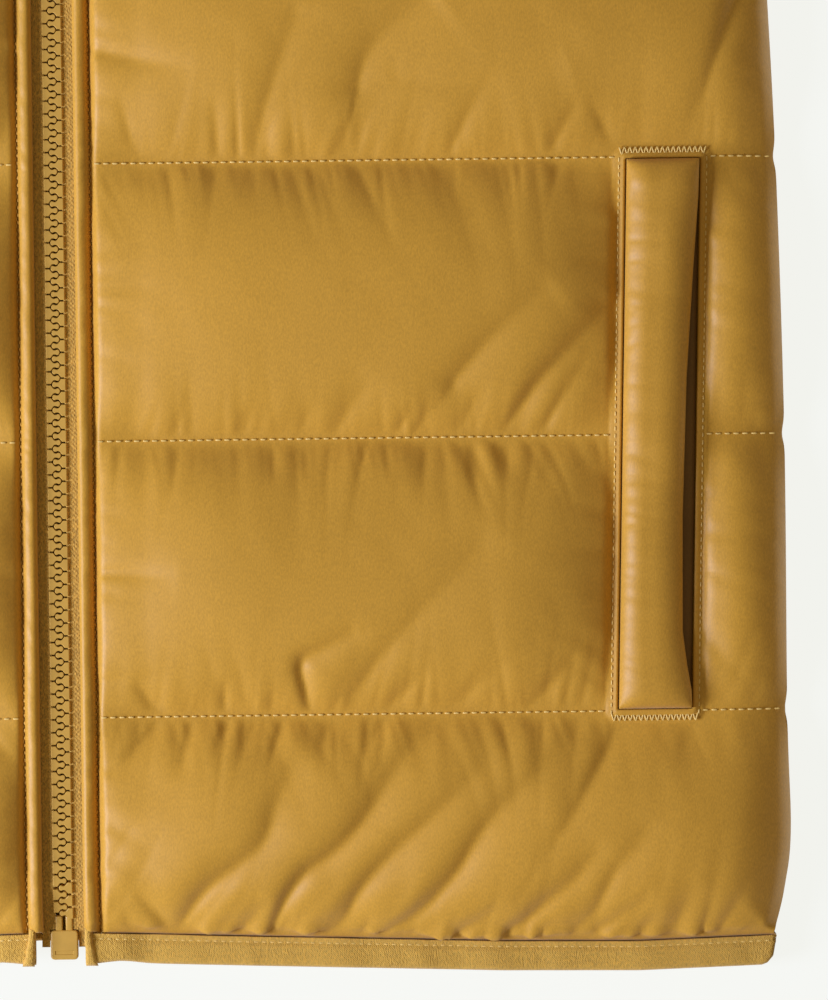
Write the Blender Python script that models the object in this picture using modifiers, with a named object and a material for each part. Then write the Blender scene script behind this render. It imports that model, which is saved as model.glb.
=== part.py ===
"""A reversible quilted vest, zipped shut and laid flat on its back.

Blender 4.5, metres, +Z up. X runs across the vest towards the wearer's left
side and Y from the hem up to the collar. The back lies on Z = 0 with the two
fronts on top of it. Sizes below are in millimetres, with heights measured
along the vest from the bottom of the hem at the zip.
"""

import math

import bmesh
import bpy
import numpy as np
from mathutils import Matrix, Vector

MM = 0.001
SEAM = 0.3  # clearance between neighbouring pieces
INSIDE_GAP = 0.9  # more clearance between the fronts and the back, away from their edges

# Where the vest begins and ends along its length; Y = 0 is halfway.
HEM_LOWEST = -4.5
COLLAR_TOP = 634.0
MIDDLE = (HEM_LOWEST + COLLAR_TOP) / 2

# Quilting lines, from the hem binding up. The last channel ends at the shoulder.
HEM_SEAM = 9.0
QUILTING = (72.5, 153.8, 235.6, 317.5, 399.5, 481.5)
SIDE_NOTCH = 0.8  # the stitching pulls the side in here

# Outline of one half: distance from the zip, height.
SIDE = ((207.2, 0.0), (210.0, 7.5), (213.2, 20.0), (215.2, 37.0), (214.6, 73.0), (214.8, 154.0),
        (213.2, 236.0), (210.6, 300.0), (209.0, 341.0), (208.5, 350.0))
FRONT_ARMHOLE = ((208.5, 350.0), (199.0, 352.0), (186.0, 360.5), (173.0, 378.0), (163.0, 405.0),
                 (156.0, 440.0), (152.5, 480.0), (153.0, 520.0), (158.0, 556.0))
BACK_ARMHOLE = ((208.5, 350.0), (200.0, 351.5), (189.0, 358.5), (179.0, 374.0), (171.0, 400.0),
                (166.5, 440.0), (163.5, 480.0), (161.0, 520.0), (158.0, 556.0))
FRONT_NECK = ((6.0, 512.0), (26.0, 515.0), (48.0, 528.0), (64.0, 551.0), (75.0, 585.0))
BACK_NECK = ((0.0, 566.0), (30.0, 568.0), (55.0, 574.5), (75.0, 585.0))
SHOULDER = ((75.0, 585.0), (158.0, 556.0))
HEM_SAG = ((8.0, 0.0), (60.0, -1.8), (130.0, -4.0), (170.0, -4.5), (210.0, -3.2))

# Cloth build-up.
BINDING_WIDTH = 8.7
BINDING_THICK = 3.6
BINDING_ROUND = 1.2
EDGE_THICK = 1.8  # quilted cloth pressed flat at a seam or a binding
TUCK = 0.9  # a binding's own cloth, on each side of the edge inside it
EDGE_RISE = 14.0  # distance over which the layers below reach full height
BACK_PADDING = 8.5
LINE_THICK = 2.2  # at a quilting line
PUFF = 9.0
HEM_PUFF = 8.0  # the hem channel is narrower
PUFF_EDGE = 16.0  # distance over which a channel fills out from a seam

# Centre front.
FRONT_EDGE = 6.0  # folded cloth edge, from the middle of the zip
EDGE_STITCH = 5.0  # row of stitching, from that edge
EDGE_STRIP_THICK = 3.0
PUCKER_DEPTH = 1.5  # gathered cloth beside the quilting lines
PUCKER_REACH = 9.0
TAPE_ROOM = 11.5
TAPE_LIFT = 1.1

# Welt pocket.
POCKET_X = 177.4
POCKET_BOTTOM = 72.9
POCKET_TOP = 235.1
POCKET_WIDTH = 22.0
POCKET_FRAME = 2.0  # frame stitching, outside the window
POCKET_TILT = math.radians(1.54)
POCKET_FRAME_THICK = 3.6
POCKET_WALL = 1.2  # quilted cloth left under the pocket
POCKET_BAG_THICK = 1.0
POCKET_BAG_INSET = 0.4
WELT_THICK = 8.4
WELT_EDGE_THICK = 2.4
# Height along the welt as a share of it, gap left beside its free edge.
WELT_GAP = ((0.0, 0.3), (0.06, 1.6), (0.14, 3.4), (0.35, 3.9), (0.6, 3.4), (0.8, 1.8), (0.93, 0.6), (1.0, 0.4))

# Stand collar.
COLLAR_FRONT_TOP = ((6.0, 578.0), (26.0, 581.0), (48.0, 593.0), (66.0, 612.0), (76.0, 634.0))
COLLAR_BACK_TOP = ((0.0, 627.0), (35.0, 628.5), (60.0, 631.0), (76.0, 634.0))
COLLAR_PUFF = 6.0
COLLAR_ROWS = (0.0, 0.05, 0.15, 0.3, 0.5, 0.7, 0.85, 0.95, 1.0)
COLLAR_BACK_ROWS = (0.0, 0.12, 0.24, 0.5, 0.76, 0.88, 1.0)
COLLAR_EDGE_COLUMNS = (2.5, 5.0, 7.5)

# Moulded zip.
TAPE_INNER = 3.2
TAPE_OUTER = 12.5
TAPE_THICK = 0.7
TAPE_OVER_BACK = 1.3
TAPE_BOTTOM = 5.3
CHAIN_WIDTH = 6.0
CHAIN_THICK = 2.4
CHAIN_BOTTOM = 14.2
CHAIN_GAP = 0.3
CHAIN_TOP = 565.6
BOX_WIDTH = 8.0
BOX_HEIGHT = 8.5
BOX_THICK = 2.8
BOX_BOTTOM = 1.5
PIN_WIDTH = 1.9
PIN_X = 1.35
PIN_THICK = 1.9
SLIDER_WIDTH = 9.0
SLIDER_LENGTH = 11.0
SLIDER_BOTTOM = 566.2
SLIDER_LOW = 1.6  # below the middle of the chain
SLIDER_HIGH = 2.2
SLIDER_CLEAR = 5.0  # tape held back beside the slider
BRIDGE_WIDTH = 1.8
BRIDGE_LENGTH = 7.4
BRIDGE_HEIGHT = 3.1
BRIDGE_WALL = 1.1
TAB_LENGTH = 25.0
TAB_WIDTH = 6.0
TAB_THICK = 1.4
TAB_WINDOW = 3.0
TAB_WINDOW_LENGTH = 6.4
TAB_AXIS_OVER_SLIDER = 1.1

# Largest folds of a front: start and end (from the zip, height), half width, depth.
FOLD_COLUMNS = ("x0", "s0", "x1", "s1", "half_width", "depth")
FOLDS = (
    (34.0, 14.0, 61.0, 38.0, 5.5, 2.6),
    (61.0, 38.0, 71.0, 66.0, 7.0, 3.2),
    (63.0, 12.0, 88.0, 36.0, 5.5, 2.8),
    (88.0, 36.0, 109.0, 66.0, 7.5, 3.4),
    (80.0, 12.0, 108.0, 31.0, 5.0, 2.4),
    (108.0, 31.0, 142.0, 64.0, 8.0, 3.2),
    (109.0, 12.0, 132.0, 32.0, 5.5, 2.4),
    (132.0, 32.0, 158.0, 66.0, 7.5, 2.6),
    (140.0, 12.0, 170.0, 56.0, 7.0, 2.4),
    (160.0, 12.0, 179.0, 40.0, 6.5, 1.8),
    (120.0, 84.0, 152.0, 134.0, 12.0, 2.2),
    (132.0, 158.0, 162.0, 184.0, 7.0, 2.8),
    (116.0, 172.0, 160.0, 207.0, 8.0, 2.2),
    (52.0, 240.0, 72.0, 282.0, 9.0, 1.8),
    (88.0, 268.0, 112.0, 262.0, 9.0, 2.0),
    (184.0, 246.0, 200.0, 284.0, 7.0, 1.8),
    (30.0, 330.0, 66.0, 366.0, 10.0, 2.0),
    (120.0, 336.0, 158.0, 352.0, 9.0, 2.4),
    (40.0, 412.0, 92.0, 452.0, 11.0, 2.0),
    (96.0, 500.0, 128.0, 532.0, 10.0, 2.0),
)
RIGHT_SHIFT = 0.94  # the hidden front has like folds, set a little nearer the zip
RIGHT_DEPTH = 0.85

# Nets of points: share of a channel for each row, distances for each column.
HEM_ROWS = (0.05, 0.12, EDGE_RISE / (QUILTING[0] - HEM_SEAM), 0.4, 0.64, 0.85, 0.96, 1.0)
CHANNEL_ROWS = (0.04, 0.15, 0.36, 0.64, 0.85, 0.96, 1.0)
UPPER_ROWS = (0.06, 0.25, 0.5, 0.75, 0.94, 1.0)
UNDERARM_ROWS = (0.05, 0.16, 0.287, 0.305, 0.34, 0.4, 0.5, 0.64, 0.82, 0.95, 1.0)
SHOULDER_ROWS = (0.06, 0.14, None, 0.293, 0.34, 0.42, 0.52, 0.62, 0.72, 0.82, 0.91, 0.97, 1.0)
PANEL_ROWS = (HEM_ROWS,) + 3 * (CHANNEL_ROWS,) + (UNDERARM_ROWS, UPPER_ROWS)
EDGE_COLUMNS = (0.0, 2.5, EDGE_STITCH, 6.2, 9.0, 14.0)
FRONT_COLUMNS = (28.0, 40.0, 52.0, 64.0, 76.0, 88.0, 100.0, 112.0, 124.0, 135.0, 145.0)
POCKET_COLUMNS = (-22.0, -16.0, -13.0, -11.6, 11.6, 13.0, 17.1)  # from the pocket's middle
SIDE_COLUMNS = (14.0, 9.5, 6.0, 3.0, 1.0, 0.0)
REFERENCE_WIDTH = 214.5
NECK_COLUMNS = (0.0, 15.0, 30.0, 43.0, 55.0, 65.5, 75.0)  # across the back's half neck
BACK_ROWS = ((150.0, 153.8, 158.0, 231.5, 235.6, 240.0), (313.5, 317.5, 321.5, 341.0, 342.7, 345.5),
             (350.0, 357.0, 366.0, 378.0), (396.0, 418.0, 440.0, 481.5))
BACK_TOP_ROWS = (0.3, 0.6, 0.8, 0.9, 1.0)
OUTLINE_STEPS = 10

CLOTH_COLOUR = (0.50, 0.285, 0.058, 1.0)
INSIDE_POCKET_COLOUR = (0.24, 0.13, 0.025, 1.0)
TAPE_COLOUR = (0.48, 0.28, 0.065, 1.0)
MOULDED_COLOUR = (0.46, 0.265, 0.07, 1.0)


def clear_scene():
    for thing in list(bpy.data.objects):
        bpy.data.objects.remove(thing)


def new_collection(name):
    collection = bpy.data.collections.new(name)
    bpy.context.scene.collection.children.link(collection)
    return collection


def make_material(name, colour, roughness):
    material = bpy.data.materials.new(name)
    material.use_nodes = True
    shader = material.node_tree.nodes["Principled BSDF"]
    shader.inputs["Base Color"].default_value = colour
    shader.inputs["Roughness"].default_value = roughness
    shader.inputs["Metallic"].default_value = 0.0
    material.diffuse_color = colour
    return material


def metres(points):
    """Points as (distance from the zip, height along the vest, height over the table), moved to the model's frame."""
    return (np.asarray(points, float) - (0.0, MIDDLE, 0.0)) * MM


# Outlines
def smooth_line(points, steps=OUTLINE_STEPS):
    """A Catmull-Rom curve through the points."""
    points = np.array(points, float)
    ends = np.vstack([2 * points[0] - points[1], points, 2 * points[-1] - points[-2]])
    found = []
    for i in range(len(points) - 1):
        p0, p1, p2, p3 = ends[i:i + 4]
        for t in np.linspace(0, 1, steps, endpoint=False):
            found.append(0.5 * (2 * p1 + (p2 - p0) * t + (2 * p0 - 5 * p1 + 4 * p2 - p3) * t ** 2
                                + (3 * p1 - p0 - 3 * p2 + p3) * t ** 3))
    found.append(points[-1])
    return np.array(found)


def inset(line, distance):
    """The line moved to its left, which on an armhole is into the cloth."""
    along = np.gradient(line, axis=0)
    along /= np.linalg.norm(along, axis=1)[:, None]
    return line + distance * np.column_stack([-along[:, 1], along[:, 0]])


def shoulder_height(x):
    (x0, s0), (x1, s1) = SHOULDER
    return s0 + (s1 - s0) * (np.asarray(x, float) - x0) / (x1 - x0)


def armhole_lines(armhole, width=HEM_SEAM):
    """(outer edge, line that far into the cloth) of an armhole, both ending on the shoulder and on the side."""
    outer = smooth_line(armhole)
    inner = inset(outer, width)
    inner[0] = (np.interp(outer[0, 1] - width, *side_table()[::-1]), outer[0, 1] - width)
    shift = shoulder_height(inner[-1, 0]) - inner[-1, 1]
    fade = np.clip((inner[:, 1] - QUILTING[-1]) / (inner[-1, 1] - QUILTING[-1]), 0, 1)
    inner[:, 1] += shift * fade
    return outer, inner


def armhole_at(armhole, heights):
    """(outer edge, panel's edge) of an armhole where the panel's edge passes these heights."""
    outer, inner = armhole_lines(armhole)
    index = np.arange(len(inner))
    place = np.interp(heights, inner[:, 1], index)
    return [np.column_stack([np.interp(place, index, line[:, axis]) for axis in (0, 1)])
            for line in (outer, inner)]


def side_table():
    """(distances from the zip, heights) of the side."""
    line = smooth_line(SIDE)
    return line[:, 0], line[:, 1]


def side_x(s):
    distance, height = side_table()
    notch = sum(np.exp(-((s - line) / 4.0) ** 2) for line in QUILTING[:4])
    return np.interp(s, height, distance) - SIDE_NOTCH * notch


def outer_x(s, armhole_inner):
    """Distance from the zip to the outer edge of a panel at a height, side or armhole."""
    low = side_x(s)
    high = np.interp(s, armhole_inner[:, 1], armhole_inner[:, 0])
    return np.where(s <= armhole_inner[0, 1], low, high)


def hem_sag(x):
    distance, drop = np.array(HEM_SAG).T
    return np.interp(np.abs(x), distance, drop)


def sagged(x, s):
    """Heights near the hem follow its sagging edge, up to the first quilting line."""
    return s + hem_sag(x) * np.clip((QUILTING[0] - s) / (QUILTING[0] - HEM_SEAM), 0, 1)


def top_of_back(x):
    neck = smooth_line(BACK_NECK)
    return np.where(np.abs(x) < SHOULDER[0][0], np.interp(np.abs(x), neck[:, 0], neck[:, 1]),
                    shoulder_height(np.abs(x)))


# Heights of the layers
def distance_to(x, s, line):
    """Shortest distance from each point to a line of points."""
    start, end = line[:-1], line[1:]
    run = end - start
    offset = np.stack([x, s], axis=-1)[..., None, :] - start
    share = np.clip((offset * run).sum(-1) / (run ** 2).sum(-1), 0, 1)
    return np.linalg.norm(offset - share[..., None] * run, axis=-1).min(-1)


def ramp(distance, width=EDGE_RISE):
    return np.clip(distance / width, 0, 1)


def hem_line(height):
    x = np.linspace(0, float(side_x(height)), 40)
    return np.column_stack([x, height + hem_sag(x)])


def back_bound_edges():
    """The back's edges that carry a binding, as lines."""
    return [hem_line(HEM_SEAM), armhole_lines(BACK_ARMHOLE)[1]]


def folded_edges():
    """Edges where the fronts and the collar's front meet what lies under them: sides, shoulders, collar's ends."""
    heights = np.linspace(HEM_SEAM, 341.0, 110)
    side = np.column_stack([side_x(heights), heights])
    shoulder = np.array([SHOULDER[0], armhole_lines(BACK_ARMHOLE)[1][-1]])
    collar_end = np.array([SHOULDER[0], COLLAR_BACK_TOP[-1]])
    return [side, shoulder, collar_end]


def nearest(x, s, lines):
    return np.min([distance_to(np.abs(x), s, line) for line in lines], axis=0)


def padded_top(fullness):
    """Height of the layer on the table, from its thin edge to its full padding."""
    return EDGE_THICK + TUCK + (BACK_PADDING - EDGE_THICK - TUCK) * fullness


def under_front(x, s):
    """How full the layers below a front are: 0 at a side, shoulder or bound edge, 1 inside."""
    return ramp(nearest(x, s, back_bound_edges() + folded_edges()))


def from_neck(x, s):
    return ramp(distance_to(np.abs(x), s, smooth_line(BACK_NECK)))


def back_top(x, s):
    """Upper face of the back, which thins at its edges."""
    return padded_top(np.minimum(under_front(x, s), from_neck(x, s)))


def front_bound_edges():
    return [hem_line(HEM_SEAM), armhole_lines(FRONT_ARMHOLE)[1]]


def front_base(x, s):
    """Inner face of a front or of the collar's front, lying on the back and its bindings."""
    fullness = under_front(x, s)
    on_binding = 1 - ramp(nearest(x, s, back_bound_edges()))
    in_binding = 1 - ramp(nearest(x, s, front_bound_edges()))
    tape = TAPE_LIFT * (1 - ramp(np.abs(x) - FRONT_EDGE - TAPE_ROOM, 6.0))
    gap = SEAM + INSIDE_GAP * np.minimum(3 * fullness, 1)
    return padded_top(fullness) + gap + TUCK * on_binding + TUCK * in_binding + tape


def round_edge(distance, width=PUFF_EDGE):
    """Padding that fills out from a seam as a quarter of an ellipse."""
    return np.sqrt(1 - (1 - np.clip(distance / width, 0, 1)) ** 2)


def channel_profile(share):
    return (1 - np.abs(2 * share - 1) ** 2.3) ** 0.56


def fold_depth(x, s, mirrored):
    """How far the cloth sinks along the largest folds."""
    depth = np.zeros_like(x)
    for row in FOLDS:
        fold = dict(zip(FOLD_COLUMNS, row))
        shift, scale = (RIGHT_SHIFT, RIGHT_DEPTH) if mirrored else (1.0, 1.0)
        line = np.array([(fold["x0"] * shift, fold["s0"]), (fold["x1"] * shift, fold["s1"])])
        near = distance_to(np.abs(x), s, line) / fold["half_width"]
        depth += fold["depth"] * scale * np.exp(-near ** 2)
    return depth


def pocket_local(x, s):
    """(across, along) the pocket, from its middle, on the left front."""
    dx, ds = np.abs(x) - POCKET_X, s - (POCKET_BOTTOM + POCKET_TOP) / 2
    cos, sin = math.cos(POCKET_TILT), math.sin(POCKET_TILT)
    return dx * cos - ds * sin, dx * sin + ds * cos


def pucker_depth(share, channel):
    """Gathers beside the quilting lines, one for every second column of the net."""
    heights = np.array((HEM_SEAM,) + QUILTING + (SHOULDER[0][1],))
    length = (heights[1:] - heights[:-1])[channel]
    from_line = np.minimum(share, 1 - share) * length
    gathered = (np.arange(share.shape[1])[None, :] + channel) % 2
    return PUCKER_DEPTH * gathered * np.clip(1 - from_line / (2 * PUCKER_REACH), 0, 1)


def outside_pocket(x, s):
    """Distance outside the pocket's frame stitching, 0 within it."""
    across, along = pocket_local(x, s)
    half_width = POCKET_WIDTH / 2 + POCKET_FRAME
    half_height = (POCKET_TOP - POCKET_BOTTOM) / 2 + POCKET_FRAME
    gap_across = np.maximum(np.abs(across) - half_width, 0)
    gap_along = np.maximum(np.abs(along) - half_height, 0)
    return np.hypot(gap_across, gap_along)


# Solids
def wall_between(name, upper, lower, material, collection):
    """A closed wall whose two faces pass through equal nets of points."""
    rows, columns = upper.shape[:2]
    shape = bmesh.new()
    bmesh.ops.create_grid(shape, x_segments=columns - 1, y_segments=rows - 1, size=0.5)
    extruded = bmesh.ops.extrude_face_region(shape, geom=shape.faces[:])
    raised = {part for part in extruded["geom"] if isinstance(part, bmesh.types.BMVert)}
    upper, lower = metres(upper), metres(lower)
    for vert in shape.verts:
        row = round((vert.co.y + 0.5) * (rows - 1))
        column = round((vert.co.x + 0.5) * (columns - 1))
        vert.co = (upper if vert in raised else lower)[row, column]
    return finish(name, shape, material, collection)


def tube_through(name, rings, material, collection):
    """A closed tube through rings of points, with its two ends filled."""
    count, points = rings.shape[:2]
    shape = bmesh.new()
    bmesh.ops.create_grid(shape, x_segments=points, y_segments=count - 1, size=0.5)
    rings = metres(rings)
    for vert in shape.verts:
        row = round((vert.co.y + 0.5) * (count - 1))
        column = round((vert.co.x + 0.5) * points) % points
        vert.co = rings[row, column]
    bmesh.ops.remove_doubles(shape, verts=shape.verts[:], dist=1e-6)
    bmesh.ops.holes_fill(shape, edges=[edge for edge in shape.edges if edge.is_boundary])
    return finish(name, shape, material, collection)


def finish(name, shape, material, collection):
    """Turns a bmesh into a named, smoothly shaded object."""
    bmesh.ops.recalc_face_normals(shape, faces=shape.faces[:])
    mesh = bpy.data.meshes.new(name)
    shape.to_mesh(mesh)
    shape.free()
    mesh.materials.append(material)
    mesh.shade_smooth()
    mesh.set_sharp_from_angle(angle=math.radians(40))
    thing = bpy.data.objects.new(name, mesh)
    collection.objects.link(thing)
    return thing


def block(name, low, high, material, collection, bevel=0.0):
    """A box between two corners, with rounded edges."""
    low, high = metres(low), metres(high)
    shape = bmesh.new()
    bmesh.ops.create_cube(shape, size=1.0)
    for vert in shape.verts:
        vert.co = [low[i] + (vert.co[i] + 0.5) * (high[i] - low[i]) for i in range(3)]
    thing = finish(name, shape, material, collection)
    if bevel:
        rounding = thing.modifiers.new("rounding", "BEVEL")
        rounding.width = bevel * MM
        rounding.segments = 2
    return thing


def mirrored(points, mirror):
    flipped = points.copy()
    if mirror:
        flipped[..., 0] *= -1
    return flipped


# Fronts and back
def front_rows(armhole_inner):
    """For each row of the net: its two end points, its channel's share and its channel."""
    heights = (HEM_SEAM,) + QUILTING
    rows = [((FRONT_EDGE, HEM_SEAM), (float(side_x(HEM_SEAM)), HEM_SEAM), 0.0, 0)]
    for channel in range(len(QUILTING)):
        low, high = heights[channel], heights[channel + 1]
        for share in PANEL_ROWS[channel]:
            s = low + share * (high - low)
            rows.append(((FRONT_EDGE, s), (float(outer_x(s, armhole_inner)), s), share, channel))
    return rows + shoulder_rows(armhole_inner)


def shoulder_rows(armhole_inner):
    """Rows of the last channel, which swing from level to the slope of the shoulder."""
    inner = np.vstack([[(FRONT_EDGE, QUILTING[-1])], smooth_line(FRONT_NECK)])
    run = np.concatenate([[0], np.cumsum(np.linalg.norm(np.diff(inner, axis=0), axis=1))])
    neck_corner = run[1] / run[-1]
    top = armhole_inner[-1, 1]
    rows = []
    for share in SHOULDER_ROWS:
        share = neck_corner if share is None else share
        start = [np.interp(share * run[-1], run, inner[:, axis]) for axis in (0, 1)]
        s = QUILTING[-1] + share * (top - QUILTING[-1])
        end = (float(np.interp(s, armhole_inner[:, 1], armhole_inner[:, 0])), s)
        rows.append((tuple(start), end, share, len(QUILTING)))
    return rows


def front_net(mirror):
    """Across, height and channel share of every point of a front's net."""
    armhole_inner = armhole_lines(FRONT_ARMHOLE)[1]
    middle = list(FRONT_COLUMNS) + [POCKET_X + offset for offset in POCKET_COLUMNS]
    first, last = FRONT_EDGE + EDGE_COLUMNS[-1], REFERENCE_WIDTH - SIDE_COLUMNS[0]
    xs, ss, shares, channels = [], [], [], []
    for start, end, share, channel in front_rows(armhole_inner):
        start, end = np.array(start), np.array(end)
        width = np.linalg.norm(end - start)
        tilt = math.tan(POCKET_TILT) * np.clip(start[1] - 154.0, -90.0, 90.0)
        leaning = [x + tilt * np.clip((x - 110.0) / 45.0, 0, 1) for x in middle]
        inner, outer = EDGE_COLUMNS[-1], width - SIDE_COLUMNS[0]
        fractions = [(x - first) / (last - first) for x in leaning]
        columns = list(EDGE_COLUMNS) + [inner + f * (outer - inner) for f in fractions]
        columns += [width - column for column in SIDE_COLUMNS]
        points = start + (end - start) * (np.array(columns) / width)[:, None]
        xs.append(points[:, 0])
        ss.append(sagged(points[:, 0], points[:, 1]) if channel == 0 else points[:, 1])
        shares.append(np.full(len(points), share))
        channels.append(np.full(len(points), channel))
    return np.array(xs), np.array(ss), np.array(shares), np.array(channels)


def front_panel(name, mirror, material, collection):
    x, s, share, channel = front_net(mirror)
    from_edge = np.hypot(x - x[:, :1], s - s[:, :1])
    from_side = np.hypot(x - x[:, -1:], s - s[:, -1:])
    puff = np.where(channel == 0, HEM_PUFF, PUFF)
    fill = channel_profile(share) * round_edge(from_edge - EDGE_STITCH - 0.6) * round_edge(from_side)
    around_pocket = outside_pocket(x, s)
    fill *= round_edge(around_pocket, 12.0)
    fill[np.isclose(share, 0.0)] = 0.0
    folds = fold_depth(x, s, mirror) + pucker_depth(share, channel)
    thick = LINE_THICK + np.maximum(puff - folds, 0) * fill
    thick = np.maximum(thick, LINE_THICK + (POCKET_FRAME_THICK - LINE_THICK) * (1 - ramp(around_pocket, 3.0)))
    strip = (from_edge < EDGE_STITCH - 0.5) & (from_edge > 0.1)
    thick = np.where(strip, EDGE_STRIP_THICK, thick)
    edge = np.zeros(x.shape, bool)
    edge[0], edge[-1], edge[:, -1] = True, True, True
    thick[edge] = EDGE_THICK
    base = front_base(x, s)
    lower = mirrored(np.stack([x, s, base], axis=-1), mirror)
    upper = mirrored(np.stack([x, s, base + thick], axis=-1), mirror)
    return wall_between(name, upper, lower, material, collection)


def cut_pocket(panel, mirror, helpers):
    """Opens the pocket's window in a front, down to the cloth that is left under it."""
    size = np.array([POCKET_WIDTH, POCKET_TOP - POCKET_BOTTOM, 30.0])
    centre = np.array([POCKET_X, (POCKET_TOP + POCKET_BOTTOM) / 2, pocket_floor() + size[2] / 2])
    cutter = block(panel.name + "_window", centre - size / 2, centre + size / 2, None, helpers)
    turn_about_pocket(cutter.data)
    if mirror:
        flip_x(cutter)
    cutter.hide_render = True
    cutter.display_type = "WIRE"
    window = panel.modifiers.new("pocket window", "BOOLEAN")
    window.operation = "DIFFERENCE"
    window.object = cutter


def pocket_floor():
    return float(front_base(np.array([POCKET_X]), np.array([154.0]))[0]) + POCKET_WALL


def turn_about_pocket(mesh):
    """Leans a mesh that was made upright at the pocket by the pocket's tilt."""
    pivot = metres((POCKET_X, (POCKET_BOTTOM + POCKET_TOP) / 2, 0.0))
    cos, sin = math.cos(POCKET_TILT), math.sin(POCKET_TILT)
    for vert in mesh.vertices:
        dx, dy = vert.co.x - pivot[0], vert.co.y - pivot[1]
        vert.co.x = pivot[0] + dx * cos + dy * sin
        vert.co.y = pivot[1] - dx * sin + dy * cos


def back_columns(width):
    """Distances from the middle to the net's columns, for a row of this half width."""
    share = np.array(NECK_COLUMNS) / NECK_COLUMNS[-1]
    half = np.concatenate([share * 0.75 * width, width - np.array(SIDE_COLUMNS)])
    return np.concatenate([-half[:0:-1], half])


def back_row_heights():
    above_hem = [HEM_SEAM + share * (QUILTING[0] - HEM_SEAM) for share in (0.0,) + HEM_ROWS]
    return above_hem + [height for group in BACK_ROWS for height in group]


def back_panel(material, collection):
    """The back, in one piece from side to side, flat underneath."""
    armhole_inner = armhole_lines(BACK_ARMHOLE)[1]
    xs, ss = [], []
    for s in back_row_heights():
        columns = back_columns(float(outer_x(s, armhole_inner)))
        xs.append(columns)
        ss.append(sagged(columns, np.full(len(columns), s)))
    for share in BACK_TOP_ROWS:
        s = QUILTING[-1] + share * (armhole_inner[-1, 1] - QUILTING[-1])
        width = float(np.interp(s, armhole_inner[:, 1], armhole_inner[:, 0]))
        half = np.split(back_columns(width), [len(NECK_COLUMNS) + len(SIDE_COLUMNS) - 1])[1]
        half[:len(NECK_COLUMNS)] += share * (np.array(NECK_COLUMNS) - half[:len(NECK_COLUMNS)])
        columns = np.concatenate([-half[:0:-1], half])
        xs.append(columns)
        ss.append(QUILTING[-1] + share * (top_of_back(columns) - QUILTING[-1]))
    x, s = np.array(xs), np.array(ss)
    lower = np.stack([x, s, np.zeros_like(x)], axis=-1)
    upper = np.stack([x, s, back_top(x, s)], axis=-1)
    return wall_between("back", upper, lower, material, collection)


# Bindings
def bound_edge(name, outer, inner, bottom, material, collection, mirror=False):
    """A folded binding between its outer edge and the panel, rounded along its fold."""
    across = outer - inner
    across /= np.linalg.norm(across, axis=1)[:, None]
    rim = outer - across * BINDING_ROUND
    section = ((inner, 0.0), (rim, 0.0), (outer, 1.0), (outer, BINDING_THICK - 1.0),
               (rim, BINDING_THICK), (inner, BINDING_THICK))
    rings = np.stack([np.column_stack([line, bottom + rise]) for line, rise in section], axis=1)
    return tube_through(name, mirrored(rings, mirror), material, collection)


def hem_binding(name, start, low_end, high_end, bottom, material, collection, mirror=False):
    """Binding along the hem, from one end to the other, following its sag."""
    x = np.linspace(0, 1, 18)
    lower_x, upper_x = start + x * (low_end - start), start + x * (high_end - start)
    outer = np.column_stack([lower_x, hem_sag(lower_x)])
    inner = np.column_stack([upper_x, hem_sag(upper_x) + BINDING_WIDTH])
    return bound_edge(name, outer, inner, bottom(upper_x), material, collection, mirror)


def front_hem_bottom(x):
    return front_base(x, HEM_SEAM + hem_sag(x)) - TUCK


def full_hem_binding(material, collection):
    """The back's hem binding, from side to side."""
    x = back_columns(float(side_x(HEM_SEAM)))
    inner = np.column_stack([x, hem_sag(x) + BINDING_WIDTH])
    outer = np.column_stack([x * SIDE[0][0] / x[-1], hem_sag(x)])
    return bound_edge("hem_binding_back", outer, inner, np.zeros(len(x)), material, collection)


def armhole_binding(name, armhole, heights, on_front, mirror, material, collection):
    outer, edge = armhole_at(armhole, heights)
    across = (outer - edge) / np.linalg.norm(outer - edge, axis=1)[:, None]
    inner = edge + SEAM * across
    bottom = front_base(edge[:, 0], edge[:, 1]) - TUCK if on_front else np.zeros(len(inner))
    return bound_edge(name, outer, inner, bottom, material, collection, mirror)


def armhole_heights(armhole, heights):
    """Those of a panel's row heights that its armhole passes, with its last one on the shoulder."""
    bottom, top = armhole_lines(armhole)[1][[0, -1], 1]
    return [s for s in heights if bottom - 0.01 < s < top - 0.01] + [top]


def front_armhole_heights():
    ends = [end[1] for start, end, share, channel in front_rows(armhole_lines(FRONT_ARMHOLE)[1])]
    return armhole_heights(FRONT_ARMHOLE, ends)


def back_armhole_heights():
    top = armhole_lines(BACK_ARMHOLE)[1][-1, 1]
    shoulder = [QUILTING[-1] + share * (top - QUILTING[-1]) for share in BACK_TOP_ROWS]
    return armhole_heights(BACK_ARMHOLE, back_row_heights() + shoulder)


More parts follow.
